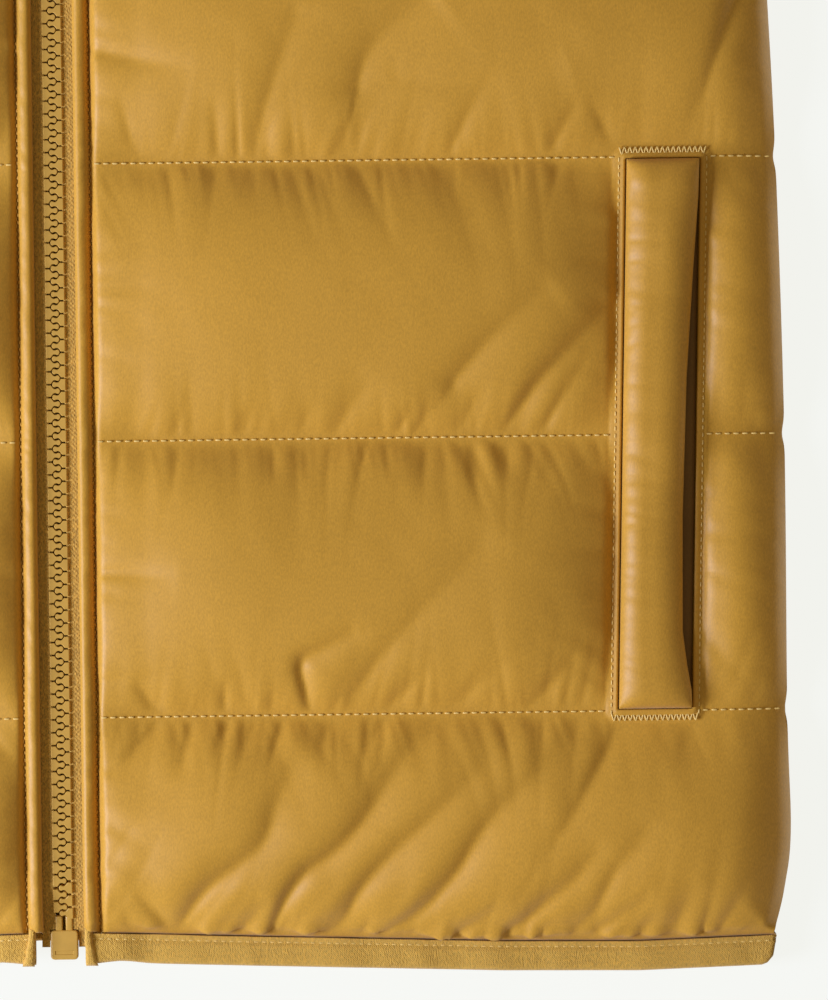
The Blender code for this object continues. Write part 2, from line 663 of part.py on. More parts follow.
# Pocket
def welt(name, mirror, material, collection):
    """A padded strip sewn in at the window's inner edge, with its outer edge free."""
    rows, columns = 15, 8
    share = np.linspace(0, 1, rows)[:, None]
    gap = np.interp(share, *np.array(WELT_GAP).T)
    left, right = -POCKET_WIDTH / 2 + SEAM, POCKET_WIDTH / 2 - gap
    across = 0.5 - 0.5 * np.cos(np.pi * np.linspace(0, 1, columns))[None, :]
    x = POCKET_X + left + across * (right - left)
    length = POCKET_TOP - POCKET_BOTTOM - 2 * SEAM
    s = POCKET_BOTTOM + SEAM + share * length + 0 * across
    crown = round_edge(across, 0.35) * round_edge(1 - across, 0.5) * round_edge(share, 0.07)
    crown = crown * round_edge(1 - share, 0.07)
    floor = pocket_floor() + 2 * SEAM + POCKET_BAG_THICK
    lower = np.stack([x, s, np.full_like(x, floor)], axis=-1)
    upper = np.stack([x, s, floor + WELT_EDGE_THICK + (WELT_THICK - WELT_EDGE_THICK) * crown], axis=-1)
    thing = wall_between(name, upper, lower, material, collection)
    turn_about_pocket(thing.data)
    return flip_x(thing) if mirror else thing


def flip_x(thing):
    thing.data.transform(Matrix.Diagonal((-1, 1, 1, 1)))
    thing.data.flip_normals()
    return thing


def pocket_bag(name, mirror, material, collection):
    """The cloth of the pocket's bag, which shows in the gap beside the welt."""
    half, floor = POCKET_WIDTH / 2 - POCKET_BAG_INSET, pocket_floor() + SEAM
    low = (POCKET_X - half, POCKET_BOTTOM + POCKET_BAG_INSET, floor)
    high = (POCKET_X + half, POCKET_TOP - POCKET_BAG_INSET, floor + POCKET_BAG_THICK)
    thing = block(name, low, high, material, collection)
    turn_about_pocket(thing.data)
    return flip_x(thing) if mirror else thing


# Collar
def collar_net(low, high, rows):
    """Net between the neck seam and the collar's top edge, clear of the seam."""
    across = inset(low, SEAM)
    across[0, 0] = low[0, 0]
    low = across
    share = np.array(rows)[:, None]
    return [low[:, axis] + share * (high[:, axis] - low[:, axis]) for axis in (0, 1)]


def along(line, share):
    """Points at these shares of a line's length."""
    run = np.concatenate([[0], np.cumsum(np.linalg.norm(np.diff(line, axis=0), axis=1))])
    return np.column_stack([np.interp(share * run[-1], run, line[:, axis]) for axis in (0, 1)])


def front_neck_points():
    """The front panel's own points along its neck seam, with more near the zip."""
    rows = shoulder_rows(armhole_lines(FRONT_ARMHOLE)[1])
    line = np.array([start for start, end, share, channel in rows if start[1] >= FRONT_NECK[0][1] - 0.01])
    edge = [FRONT_EDGE + column for column in COLLAR_EDGE_COLUMNS]
    near_zip = np.column_stack([edge, np.interp(edge, line[:, 0], line[:, 1])])
    return np.vstack([line[:1], near_zip, line[1:]])


def collar_front(name, mirror, material, collection):
    low = front_neck_points()
    run = np.linalg.norm(np.diff(low, axis=0), axis=1)
    high = along(smooth_line(COLLAR_FRONT_TOP), np.concatenate([[0], np.cumsum(run)]) / run.sum())
    near = len(COLLAR_EDGE_COLUMNS) + 1
    high[:near, 0] = low[:near, 0]
    x, s = collar_net(low, high, COLLAR_ROWS)
    fill = round_edge(x - x[:, :1] - EDGE_STITCH + 0.2) * round_edge(x[:, -1:] - x)
    fill *= round_edge(np.hypot(x - x[:1], s - s[:1])) * round_edge(np.hypot(x - x[-1:], s - s[-1:]), 8.0)
    base = front_base(x, s)
    lower = mirrored(np.stack([x, s, base], axis=-1), mirror)
    upper = mirrored(np.stack([x, s, base + EDGE_THICK + COLLAR_PUFF * fill], axis=-1), mirror)
    return wall_between(name, upper, lower, material, collection)


def collar_back(material, collection):
    """The back of the collar, flat underneath, between the two folds at its sides."""
    across = np.array(NECK_COLUMNS)
    low = np.column_stack([across, top_of_back(across)])
    top = smooth_line(COLLAR_BACK_TOP)
    high_x = across * COLLAR_BACK_TOP[-1][0] / across[-1]
    high = np.column_stack([high_x, np.interp(high_x, top[:, 0], top[:, 1])])
    x, s = collar_net(low, high, COLLAR_BACK_ROWS)
    x = np.concatenate([-x[:, :0:-1], x], axis=1)
    s = np.concatenate([s[:, :0:-1], s], axis=1)
    fullness = np.minimum(under_front(x, s), from_neck(x, s))
    fullness = np.minimum(fullness, ramp(np.hypot(x - x[-1:], s - s[-1:]), 8.0))
    lower = np.stack([x, s, np.zeros_like(x)], axis=-1)
    upper = np.stack([x, s, padded_top(fullness)], axis=-1)
    return wall_between("collar_back", upper, lower, material, collection)


# Zip
def zip_height(s):
    """Lower face of the zip's tapes, over the hem and then over the padded back."""
    s = np.asarray(s, float)
    rise = ramp(s - HEM_SEAM)
    return BINDING_THICK + (BACK_PADDING - BINDING_THICK) * rise + TAPE_OVER_BACK


def strip_along_zip(name, heights, near, far, low, thick, material, collection, mirror=False):
    """A strip beside the zip's middle: its near and far sides and its lower face at each height."""
    s = np.repeat(np.array(heights)[:, None], 2, axis=1)
    x = np.column_stack([near, far])
    base = np.repeat(np.asarray(low)[:, None], 2, axis=1)
    lower = mirrored(np.stack([x, s, base], axis=-1), mirror)
    upper = mirrored(np.stack([x, s, base + thick], axis=-1), mirror)
    return wall_between(name, upper, lower, material, collection)


def zip_tape(name, mirror, material, collection):
    s = np.array([TAPE_BOTTOM, HEM_SEAM, HEM_SEAM + 0.8, 16.0, 23.0, CHAIN_TOP - 1.0, CHAIN_TOP, 577.0])
    far = np.where(s <= HEM_SEAM, FRONT_EDGE + 0.9, TAPE_OUTER)
    near = np.where(s >= CHAIN_TOP, SLIDER_CLEAR, TAPE_INNER)
    near[s <= HEM_SEAM + 1.0] = BOX_WIDTH / 2 + SEAM
    return strip_along_zip(name, s, near, far, zip_height(s), TAPE_THICK, material, collection, mirror)


def zip_chain(name, mirror, material, collection):
    s = np.array([CHAIN_BOTTOM, 16.0, 19.5, 23.0, CHAIN_TOP])
    near, far = np.full(len(s), CHAIN_GAP / 2), np.full(len(s), CHAIN_WIDTH / 2 - 0.1)
    low = zip_height(s) + (TAPE_THICK - CHAIN_THICK) / 2
    return strip_along_zip(name, s, near, far, low, CHAIN_THICK, material, collection, mirror)


def zip_pin(name, mirror, material, collection):
    """One of the two pins between the lowest teeth and the box."""
    s = np.array([BOX_BOTTOM + BOX_HEIGHT + SEAM, CHAIN_BOTTOM - SEAM])
    near, far = np.full(2, PIN_X - PIN_WIDTH / 2), np.full(2, PIN_X + PIN_WIDTH / 2)
    low = zip_height(s) + (TAPE_THICK - PIN_THICK) / 2
    return strip_along_zip(name, s, near, far, low, PIN_THICK, material, collection, mirror)


def retainer_box(material, collection):
    middle = float(zip_height(BOX_BOTTOM)) + TAPE_THICK / 2
    low = (-BOX_WIDTH / 2, BOX_BOTTOM, middle - BOX_THICK / 2)
    high = (BOX_WIDTH / 2, BOX_BOTTOM + BOX_HEIGHT, middle + BOX_THICK / 2)
    return block("zip_retainer_box", low, high, material, collection, bevel=0.7)


def slider_top():
    return float(zip_height(SLIDER_BOTTOM)) + TAPE_THICK / 2 + SLIDER_HIGH


def slider(material, collection, helpers):
    """The slider's body with the bridge that carries its pull tab."""
    top = slider_top()
    low = (-SLIDER_WIDTH / 2, SLIDER_BOTTOM, top - SLIDER_HIGH - SLIDER_LOW)
    high = (SLIDER_WIDTH / 2, SLIDER_BOTTOM + SLIDER_LENGTH, top)
    body = block("zip_slider", low, high, material, collection, bevel=0.9)
    middle = SLIDER_BOTTOM + SLIDER_LENGTH / 2
    bridge_low = (-BRIDGE_WIDTH / 2, middle - BRIDGE_LENGTH / 2, top - 1.0)
    bridge_high = (BRIDGE_WIDTH / 2, middle + BRIDGE_LENGTH / 2, top + BRIDGE_HEIGHT)
    bridge = block("slider_bridge", bridge_low, bridge_high, material, helpers)
    half = BRIDGE_LENGTH / 2 - BRIDGE_WALL
    slot_low = (-BRIDGE_WIDTH, middle - half, top)
    slot_high = (BRIDGE_WIDTH, middle + half, top + BRIDGE_HEIGHT - BRIDGE_WALL)
    slot = block("slider_slot", slot_low, slot_high, material, helpers)
    for helper in (bridge, slot):
        helper.hide_render = True
        helper.display_type = "WIRE"
    opened = bridge.modifiers.new("slot", "BOOLEAN")
    opened.operation = "DIFFERENCE"
    opened.object = slot
    joined = body.modifiers.new("bridge", "BOOLEAN")
    joined.operation = "UNION"
    joined.object = bridge
    return body


def pull_tab(material, collection, helpers):
    """The tab lies towards the hem, with its cross bar in the slider's bridge and its origin on the hinge's axis."""
    axis_s = SLIDER_BOTTOM + SLIDER_LENGTH / 2 - BRIDGE_LENGTH / 2 + BRIDGE_WALL + TAB_THICK / 2 + SEAM
    axis_z = slider_top() + TAB_AXIS_OVER_SLIDER
    half_thick = TAB_THICK / 2
    low = (-TAB_WIDTH / 2, axis_s - TAB_LENGTH, axis_z - half_thick)
    high = (TAB_WIDTH / 2, axis_s + half_thick, axis_z + half_thick)
    tab = block("zip_pull_tab", low, high, material, collection)
    window_low = (-TAB_WINDOW / 2, axis_s - TAB_WINDOW_LENGTH, axis_z - 3.0)
    window_high = (TAB_WINDOW / 2, axis_s - half_thick, axis_z + 3.0)
    window = block("tab_window", window_low, window_high, material, helpers)
    window.hide_render = True
    window.display_type = "WIRE"
    opened = tab.modifiers.new("window", "BOOLEAN")
    opened.operation = "DIFFERENCE"
    opened.object = window
    softened = tab.modifiers.new("rounding", "BEVEL")
    softened.width = 0.3 * MM
    softened.segments = 1
    pivot = Vector(metres((0.0, axis_s, axis_z)))
    tab.data.transform(Matrix.Translation(-pivot))
    tab.location = pivot
    return tab


def main():
    clear_scene()
    vest, helpers = new_collection("quilted_vest"), new_collection("cutters")
    cloth = make_material("quilted_shell", CLOTH_COLOUR, 0.62)
    binding = make_material("stretch_binding", CLOTH_COLOUR, 0.8)
    bag = make_material("pocket_bag", INSIDE_POCKET_COLOUR, 0.7)
    tape = make_material("zip_tape", TAPE_COLOUR, 0.8)
    moulded = make_material("moulded_zip", MOULDED_COLOUR, 0.4)

    back_panel(cloth, vest)
    full_hem_binding(binding, vest)
    collar_back(cloth, vest)
    for side, mirror in (("left", False), ("right", True)):
        panel = front_panel(f"front_{side}", mirror, cloth, vest)
        cut_pocket(panel, mirror, helpers)
        pocket_bag(f"pocket_bag_{side}", mirror, bag, vest)
        welt(f"pocket_welt_{side}", mirror, cloth, vest)
        collar_front(f"collar_{side}", mirror, cloth, vest)
        hem_binding(f"hem_binding_{side}", FRONT_EDGE + 1.5, SIDE[0][0], float(side_x(BINDING_WIDTH)),
                    front_hem_bottom, binding, vest, mirror)
        armhole_binding(f"armhole_binding_front_{side}", FRONT_ARMHOLE, front_armhole_heights(), True,
                        mirror, binding, vest)
        armhole_binding(f"armhole_binding_back_{side}", BACK_ARMHOLE, back_armhole_heights(), False,
                        mirror, binding, vest)
        zip_tape(f"zip_tape_{side}", mirror, tape, vest)
        zip_chain(f"zip_chain_{side}", mirror, moulded, vest)
        zip_pin(f"zip_pin_{side}", mirror, moulded, vest)
    retainer_box(moulded, vest)
    slider(moulded, vest, helpers)
    pull_tab(moulded, vest, helpers)


main()
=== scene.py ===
# Quilted vest, zipped and laid flat on its back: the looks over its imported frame.

import math

import bmesh
import bpy
import numpy as np
from mathutils import Matrix, Vector
from mathutils.bvhtree import BVHTree


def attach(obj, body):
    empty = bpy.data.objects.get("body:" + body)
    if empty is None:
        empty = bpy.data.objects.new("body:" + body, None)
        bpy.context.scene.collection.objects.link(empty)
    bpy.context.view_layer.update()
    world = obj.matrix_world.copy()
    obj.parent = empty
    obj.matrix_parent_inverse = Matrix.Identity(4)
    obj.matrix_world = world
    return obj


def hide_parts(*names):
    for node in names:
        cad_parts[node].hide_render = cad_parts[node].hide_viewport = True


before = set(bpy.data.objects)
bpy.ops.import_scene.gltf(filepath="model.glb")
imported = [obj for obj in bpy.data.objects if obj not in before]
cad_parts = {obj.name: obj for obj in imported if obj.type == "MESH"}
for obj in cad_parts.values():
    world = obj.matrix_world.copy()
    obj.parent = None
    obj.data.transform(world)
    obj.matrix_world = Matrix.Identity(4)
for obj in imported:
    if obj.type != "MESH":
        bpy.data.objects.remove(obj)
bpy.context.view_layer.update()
mm = 0.001
sides = (("left", False), ("right", True))  # and whether the side is mirrored

# Sizes of the whole garment in millimetres: distance from the zip, height above the hem.
vest = {
    "middle": 314.75,  # height of the frame's origin
    "seam": 0.3,
    "hemSeam": 9.0,
    "quilting": (72.5, 153.8, 235.6, 317.5, 399.5, 481.5),
    "sideNotch": 0.7,
    "side": ((207.2, 0.0), (210.0, 7.5), (213.2, 20.0), (215.2, 37.0), (214.6, 73.0), (214.8, 154.0),
             (213.2, 236.0), (210.6, 300.0), (209.0, 341.0), (208.5, 350.0)),
    "frontArmhole": ((208.5, 350.0), (199.0, 352.0), (186.0, 360.5), (173.0, 378.0), (163.0, 405.0),
                     (156.0, 440.0), (152.5, 480.0), (153.0, 520.0), (158.0, 556.0)),
    "backArmhole": ((208.5, 350.0), (200.0, 351.5), (189.0, 358.5), (179.0, 374.0), (171.0, 400.0),
                    (166.5, 440.0), (163.5, 480.0), (161.0, 520.0), (158.0, 556.0)),
    "frontNeck": ((6.0, 512.0), (26.0, 515.0), (48.0, 528.0), (64.0, 551.0), (75.0, 585.0)),
    "backNeck": ((0.0, 566.0), (30.0, 568.0), (55.0, 574.5), (75.0, 585.0)),
    "collarFrontTop": ((6.0, 578.0), (26.0, 581.0), (48.0, 593.0), (66.0, 612.0), (76.0, 634.0)),
    "collarBackTop": ((0.0, 627.0), (35.0, 628.5), (60.0, 631.0), (76.0, 634.0)),
    "shoulderTip": (158.0, 556.0),
    "hemSag": ((8.0, 0.0), (60.0, -1.8), (130.0, -4.0), (170.0, -4.5), (210.0, -3.2)),
    "frontEdge": 6.0,
    "underarm": 341.0,
}

# Heights of the layers over the table, in millimetres.
layers = {
    "edge": 1.8,
    "tuck": 0.9,
    "rise": 14.0,
    "backPadding": 8.5,
    "insideGap": 0.9,
    "tapeLift": 1.1,
    "tapeRoom": 11.5,
}

pocket = {
    "x": 177.4, "bottom": 72.9, "top": 235.2, "width": 22.0, "lean": math.tan(math.radians(1.54)),
    "frame": 1.9, "frameThick": 3.5, "frameRun": 1.6, "floor": 10.9,
    "middle": 154.0,  # the height its lean turns about
}


# Outlines and layers
def smoothLine(points, steps=10):
    points = np.array(points, float)
    ends = np.vstack([2 * points[0] - points[1], points, 2 * points[-1] - points[-2]])
    found = []
    for i in range(len(points) - 1):
        p0, p1, p2, p3 = ends[i:i + 4]
        for t in np.linspace(0, 1, steps, endpoint=False):
            found.append(0.5 * (2 * p1 + (p2 - p0) * t + (2 * p0 - 5 * p1 + 4 * p2 - p3) * t ** 2
                                + (3 * p1 - p0 - 3 * p2 + p3) * t ** 3))
    return np.array(found + [points[-1]])


# Length walked along a line at each of its points.
def runAlong(line):
    return np.concatenate([[0], np.cumsum(np.linalg.norm(np.diff(line, axis=0), axis=1))])


def pointsAlong(places, run, line):
    return np.column_stack([np.interp(places, run, line[:, axis]) for axis in (0, 1)])


def insetLine(line, distance):
    along = np.gradient(line, axis=0)
    along /= np.linalg.norm(along, axis=1)[:, None]
    return line + distance * np.column_stack([-along[:, 1], along[:, 0]])


def shoulderHeight(x):
    (x0, s0), (x1, s1) = vest["backNeck"][-1], vest["shoulderTip"]
    return s0 + (s1 - s0) * (np.asarray(x, float) - x0) / (x1 - x0)


sideLine = smoothLine(vest["side"])
neckLine = smoothLine(vest["frontNeck"])


def sideX(s):
    notch = sum(np.exp(-((s - line) / 3.2) ** 2) for line in vest["quilting"][:4])
    return np.interp(s, sideLine[:, 1], sideLine[:, 0]) - vest["sideNotch"] * notch


def armholeLines(armhole):
    outer = smoothLine(vest[armhole])
    inner = insetLine(outer, vest["hemSeam"])
    start = outer[0, 1] - vest["hemSeam"]
    inner[0] = (np.interp(start, sideLine[:, 1], sideLine[:, 0]), start)
    top = vest["quilting"][-1]
    fade = np.clip((inner[:, 1] - top) / (inner[-1, 1] - top), 0, 1)
    inner[:, 1] += (shoulderHeight(inner[-1, 0]) - inner[-1, 1]) * fade
    return outer, inner


frontArmhole = armholeLines("frontArmhole")
backArmhole = armholeLines("backArmhole")


def hemSag(x):
    distance, drop = np.array(vest["hemSag"]).T
    return np.interp(np.abs(x), distance, drop)


# Shortest distance from each point to a line of points.
def distanceTo(x, s, line):
    found = np.full(np.shape(x), 1e9)
    for (x0, s0), (x1, s1) in zip(line[:-1], line[1:]):
        run = (x1 - x0) ** 2 + (s1 - s0) ** 2
        share = np.clip(((x - x0) * (x1 - x0) + (s - s0) * (s1 - s0)) / run, 0, 1)
        found = np.minimum(found, (x - x0 - share * (x1 - x0)) ** 2 + (s - s0 - share * (s1 - s0)) ** 2)
    return np.sqrt(found)


def smoothShare(share):
    return share * share * (3 - 2 * share)


def ramp(distance, width=14.0):
    return np.clip(distance / width, 0, 1)


def roundEdge(distance, width=16.0):
    return np.sqrt(np.clip(1 - (1 - np.clip(distance / width, 0, 1)) ** 2, 0, 1))


def hemLine():
    x = np.linspace(0, 212.0, 40)
    return np.column_stack([x, vest["hemSeam"] + hemSag(x)])


def sideEdge():
    heights = np.linspace(vest["hemSeam"], vest["underarm"], 70)
    return np.column_stack([sideX(heights), heights])


shoulderLine = np.array([vest["backNeck"][-1], backArmhole[1][-1]])
collarEnd = np.array([vest["backNeck"][-1], vest["collarBackTop"][-1]])


def paddedTop(fullness):
    thin = layers["edge"] + layers["tuck"]
    return thin + (layers["backPadding"] - thin) * fullness


def softRamp(distance, width=14.0):
    return np.sin(0.5 * np.pi * np.clip(distance / (1.3 * width), 0, 1)) ** 0.8


# Inner face of the fronts and of the collar's front; with soft ramps, what lies under their outer face.
def frontBase(x, s, ramp=ramp):
    x = np.abs(x)
    backEdge = np.minimum(distanceTo(x, s, hemLine()), distanceTo(x, s, backArmhole[1]))
    frontEdge = np.minimum(distanceTo(x, s, hemLine()), distanceTo(x, s, frontArmhole[1]))
    folded = np.minimum(distanceTo(x, s, sideEdge()), distanceTo(x, s, shoulderLine))
    folded = np.minimum(folded, distanceTo(x, s, collarEnd))
    fullness = ramp(np.minimum(backEdge, folded))
    gap = vest["seam"] + layers["insideGap"] * np.minimum(3 * fullness, 1)
    bound = 2 - ramp(backEdge) - ramp(frontEdge)
    if ramp is softRamp:
        step = smoothShare(np.clip((x - vest["frontEdge"] - 5.0) / 16.0, 0, 1))
    else:
        step = np.clip((x - vest["frontEdge"] - layers["tapeRoom"]) / 6.0, 0, 1)
    tape = layers["tapeLift"] * (1 - step)
    return paddedTop(fullness) + gap + layers["tuck"] * bound + tape


# Distance outside the pocket's window.
def outsidePocket(x, s):
    across = np.abs(np.abs(x) - pocket["x"] - pocket["lean"] * (s - pocket["middle"])) - pocket["width"] / 2
    along = np.abs(s - (pocket["bottom"] + pocket["top"]) / 2) - (pocket["top"] - pocket["bottom"]) / 2
    return np.hypot(np.maximum(across, 0), np.maximum(along, 0)) + np.minimum(np.maximum(across, along), 0)


# Wrinkles

# Smooth random values from -1 to 1 along a line, one for each pitch.
def randomLine(position, pitch, seed):
    random = np.random.default_rng(seed)
    values = random.uniform(-1, 1, 4000)
    place = np.asarray(position) / pitch + 1000
    first = np.floor(place).astype(int)
    share = smoothShare(place - first)
    return values[first] * (1 - share) + values[first + 1] * share


# The same over a surface.
def randomField(x, s, pitchX, pitchS, seed):
    random = np.random.default_rng(seed)
    values = random.uniform(-1, 1, (512, 512))
    placeX, placeS = x / pitchX + 200, s / pitchS + 100
    i, j = np.floor(placeX).astype(int), np.floor(placeS).astype(int)
    u, v = smoothShare(placeX - i), smoothShare(placeS - j)
    low = values[j, i] * (1 - u) + values[j, i + 1] * u
    high = values[j + 1, i] * (1 - u) + values[j + 1, i + 1] * u
    return low * (1 - v) + high * v


# Gathers beside a seam: spacing, how far they reach, depth of their valleys, slant.
gathers = {
    "columns": ("pitch", "reach", "depth", "slant"),
    "rows": ((2.66, 4.2, 2.2, 0.3), (5.2, 6.5, 3.2, 0.4), (10.5, 11.0, 2.6, 0.6), (24.0, 17.0, 1.2, 0.5)),
    "hemRows": ((2.9, 3.4, 1.8, 0.6), (6.6, 7.5, 2.4, 0.75), (11.5, 13.0, 2.0, 0.85), (24.0, 18.0, 0.5, 0.8)),
    "sharp": 0.7,  # below 1 the valleys narrow
}


# Rounded crests with sharp valleys between them, running away from a line of stitches.
def gatherDepth(x, distance, seed, rows="rows", lean=0.0):
    total = np.zeros_like(x)
    for number, row in enumerate(gathers[rows]):
        band = dict(zip(gathers["columns"], row))
        sway = randomLine(x, 3.5 * band["pitch"], seed + 31 * number)
        along = x - (lean + band["slant"] * sway) * distance
        crest = np.abs(randomLine(along, band["pitch"], seed + 7 + 31 * number)) ** gathers["sharp"]
        patch = 0.5 + 0.5 * randomLine(x, 3.3 * band["pitch"], seed + 13 + 31 * number)
        uneven = randomLine(x, 1.7 * band["pitch"], seed + 19 + 31 * number)
        length = band["reach"] * (0.7 + 0.6 * uneven ** 2)
        total += band["depth"] * (0.25 + 1.1 * patch) * (1 - crest) * np.exp(-distance / length)
    return total


# Folds, each from its lower to its upper end: depth and width at both ends, and its valley.
folds = (
    (3.0, 0.5, 1.5, 6.0, ((33.5, 9), (38, 16), (43, 22), (50, 27.5), (57, 32.5), (61, 38), (63.5, 46),
                          (68, 55), (73, 62))),
    (2.6, 0.0, 1.7, 1.4, ((32, 9), (29, 13), (24.5, 18), (20.5, 22.5))),
    (1.5, 0.0, 1.3, 1.5, ((20.5, 9), (19, 12), (17.5, 16.5))),
    (2.0, 0.0, 1.7, 2.2, ((52, 9), (56, 13), (61, 19))),
    (2.7, 1.1, 1.3, 6.0, ((61.5, 9), (64, 15), (67, 20.5), (72, 26.5), (78, 30.5), (84, 35.5), (90, 42.5),
                          (95.5, 51), (101, 59), (107, 65), (112, 70))),
    (1.2, 0.0, 1.0, 1.2, ((64, 8.6), (68, 13.5))),
    (2.7, 0.4, 2.4, 5.0, ((79, 8.5), (83.5, 13), (86.5, 19), (91.5, 25.5), (99, 33), (107, 40), (115, 47.5),
                          (123, 55), (130, 62))),
    (1.3, 0.0, 1.2, 1.4, ((88, 8.5), (91.5, 13))),
    (2.6, 0.5, 1.5, 5.5, ((94, 8.2), (100, 11), (106, 15), (111, 20), (117, 27), (122, 35), (128, 43),
                          (137, 51), (145, 59), (149, 66))),
    (1.9, 0.0, 1.3, 2.0, ((116, 8), (120.5, 10), (125, 12.8), (132, 16))),
    (1.0, 0.0, 1.0, 1.2, ((103, 8.2), (112, 10.8))),
    (2.8, 0.2, 1.2, 4.2, ((131, 8), (138, 12.5), (144, 18), (150, 22.5), (155, 28), (160, 35))),
    (1.2, 0.0, 1.0, 1.3, ((141, 8.2), (147, 11.2))),
    (1.7, 0.2, 2.2, 4.0, ((151, 8.3), (156, 13), (159.5, 19), (163, 26), (169, 33), (175, 41))),
    (2.1, 0.0, 1.1, 1.7, ((157.5, 8.2), (163, 11.5), (169, 15.5), (174, 19.5))),
    (0.3, 1.7, 4.0, 1.7, ((143, 32), (150, 41.5), (156, 52), (161, 61), (164.5, 69))),
    (1.3, 0.0, 2.0, 3.0, ((180, 8.5), (183, 14), (188, 22))),
    (1.3, 0.0, 2.0, 2.4, ((194, 8.5), (198, 15), (202, 22))),
    (1.1, 0.0, 1.3, 1.6, ((171, 8.3), (177, 13.5))),
    (0.2, 1.8, 1.6, 1.2, ((16.5, 58.5), (21, 62), (28.5, 70))),
    (0.0, 1.1, 2.0, 1.6, ((34.5, 54), (36.5, 62), (38.5, 70))),
    (0.1, 1.7, 1.5, 1.2, ((61.5, 58), (63.3, 64), (65.7, 71))),
    (0.1, 1.5, 1.5, 1.2, ((89.5, 60), (91.5, 64.5), (95, 71))),
    (0.1, 1.4, 1.6, 1.3, ((77, 63), (79.5, 71))),
    (0.1, 1.1, 1.6, 1.3, ((53, 60), (57, 70))),
    (0.1, 1.0, 1.6, 1.4, ((45, 60), (48.3, 70))),
    (0.1, 1.0, 3.0, 2.0, ((182, 56), (186, 69))),
    (2.1, 0.0, 1.4, 1.8, ((29.3, 73.5), (26, 77.5), (21.5, 84))),
    (1.4, 0.0, 1.3, 1.5, ((48.3, 73.5), (48.9, 84))),
    (2.1, 0.6, 1.3, 2.4, ((73.7, 73.5), (72.3, 80), (71.2, 88), (77, 91.5), (86, 96))),
    (1.9, 0.0, 1.5, 2.6, ((96, 73.5), (101, 78.5), (108, 86))),
    (1.3, 0.0, 1.5, 2.8, ((115, 74), (121, 80), (129, 89))),
    (1.2, 0.3, 4.5, 6.5, ((86, 78), (97, 92), (107, 103), (120, 116), (128, 127))),
    (1.3, 0.0, 1.2, 3.0, ((10.6, 115.2), (20, 115.4), (36, 114))),
    (1.5, 0.0, 1.6, 2.8, ((139, 74.5), (144, 80), (153, 90))),
    (0.1, 0.9, 2.2, 1.8, ((204, 79), (197, 86), (190, 94))),
    (0.8, 0.0, 1.2, 1.4, ((62, 73.5), (63, 81))),
    (0.1, 1.1, 1.7, 1.3, ((64, 142), (63.5, 153))),
    (0.1, 1.0, 1.7, 1.2, ((74, 141), (73, 153))),
    (0.1, 1.2, 1.5, 1.2, ((98, 143), (96.5, 153))),
    (0.1, 1.0, 1.8, 1.3, ((107.5, 139), (109, 153))),
    (0.1, 1.1, 1.6, 1.2, ((115, 143), (113, 153))),
    (0.1, 1.3, 2.0, 1.3, ((125, 140), (121, 153))),
    (0.1, 1.8, 1.4, 1.2, ((132.5, 143), (131, 153))),
    (2.1, 0.8, 1.5, 4.2, ((131.5, 154.5), (140, 167), (150, 178), (162, 190))),
    (1.4, 0.5, 3.6, 5.5, ((117, 170), (124, 178), (133, 187), (147, 199))),
    (1.1, 0.0, 1.8, 4.0, ((82.5, 156), (86, 162), (94, 172))),
    (1.1, 0.0, 1.4, 2.0, ((71.5, 155), (76, 165))),
    (0.9, 0.0, 1.3, 1.8, ((55.5, 154.5), (57.5, 164))),
    (1.3, 0.0, 1.3, 2.2, ((99.5, 154.5), (106, 164))),
    (1.1, 0.0, 1.3, 2.2, ((105.5, 154.5), (112, 167))),
    (1.1, 0.0, 1.5, 2.6, ((118, 155), (126, 169))),
    (1.4, 0.2, 1.6, 3.4, ((142.5, 155), (149, 165), (159, 181))),
    (1.7, 0.5, 5.5, 6.5, ((90, 257), (93, 266), (100, 274), (114, 284))),
    (0.7, 0.5, 7.0, 8.0, ((102, 259), (126, 257), (152, 263))),
    (1.6, 0.1, 1.2, 4.0, ((10.8, 269.8), (24, 266.6), (43, 263))),
    (0.9, 0.4, 3.5, 4.5, ((60, 242), (65, 258), (74, 282))),
    (1.0, 0.0, 1.6, 2.6, ((48.5, 238), (47.5, 256))),
    (0.5, 1.7, 3.2, 2.2, ((190, 249), (195.5, 265), (202.5, 284))),
    (0.9, 0.0, 1.6, 2.6, ((117, 238), (123, 250), (131, 262))),
    (1.3, 0.0, 1.5, 1.8, ((146.5, 237), (151, 246), (156, 254))),
    (1.4, 0.0, 1.5, 1.8, ((165.5, 238), (161.5, 246), (157, 254))),
    (0.9, 0.0, 1.4, 2.0, ((25, 237), (22, 246), (19, 258))),
    (1.6, 0.1, 2.0, 5.0, ((60, 396), (78, 382), (96, 371))),
    (1.6, 0.3, 2.5, 5.0, ((30, 319), (48, 343), (66, 366))),
    (1.8, 0.4, 2.2, 4.5, ((118, 319), (134, 340), (156, 352))),
    (1.7, 0.2, 2.0, 5.0, ((40, 401), (58, 420), (92, 452))),
    (1.8, 0.3, 2.0, 4.5, ((96, 401), (112, 424), (138, 446))),
    (1.5, 0.2, 2.0, 4.0, ((60, 483), (76, 500), (98, 528))),
    (1.5, 0.2, 2.0, 4.0, ((104, 483), (118, 504), (134, 540))),
)
foldLook = {
    "depth": 1.85,  # times a fold's own depth
    "shaded": 0.85, "sunny": 1.5,  # widths of its two slopes
    "likeness": 0.96, "shift": 10.0,  # where the other front has its folds
    "fade": 0.12,  # share of its length over which it ends
}


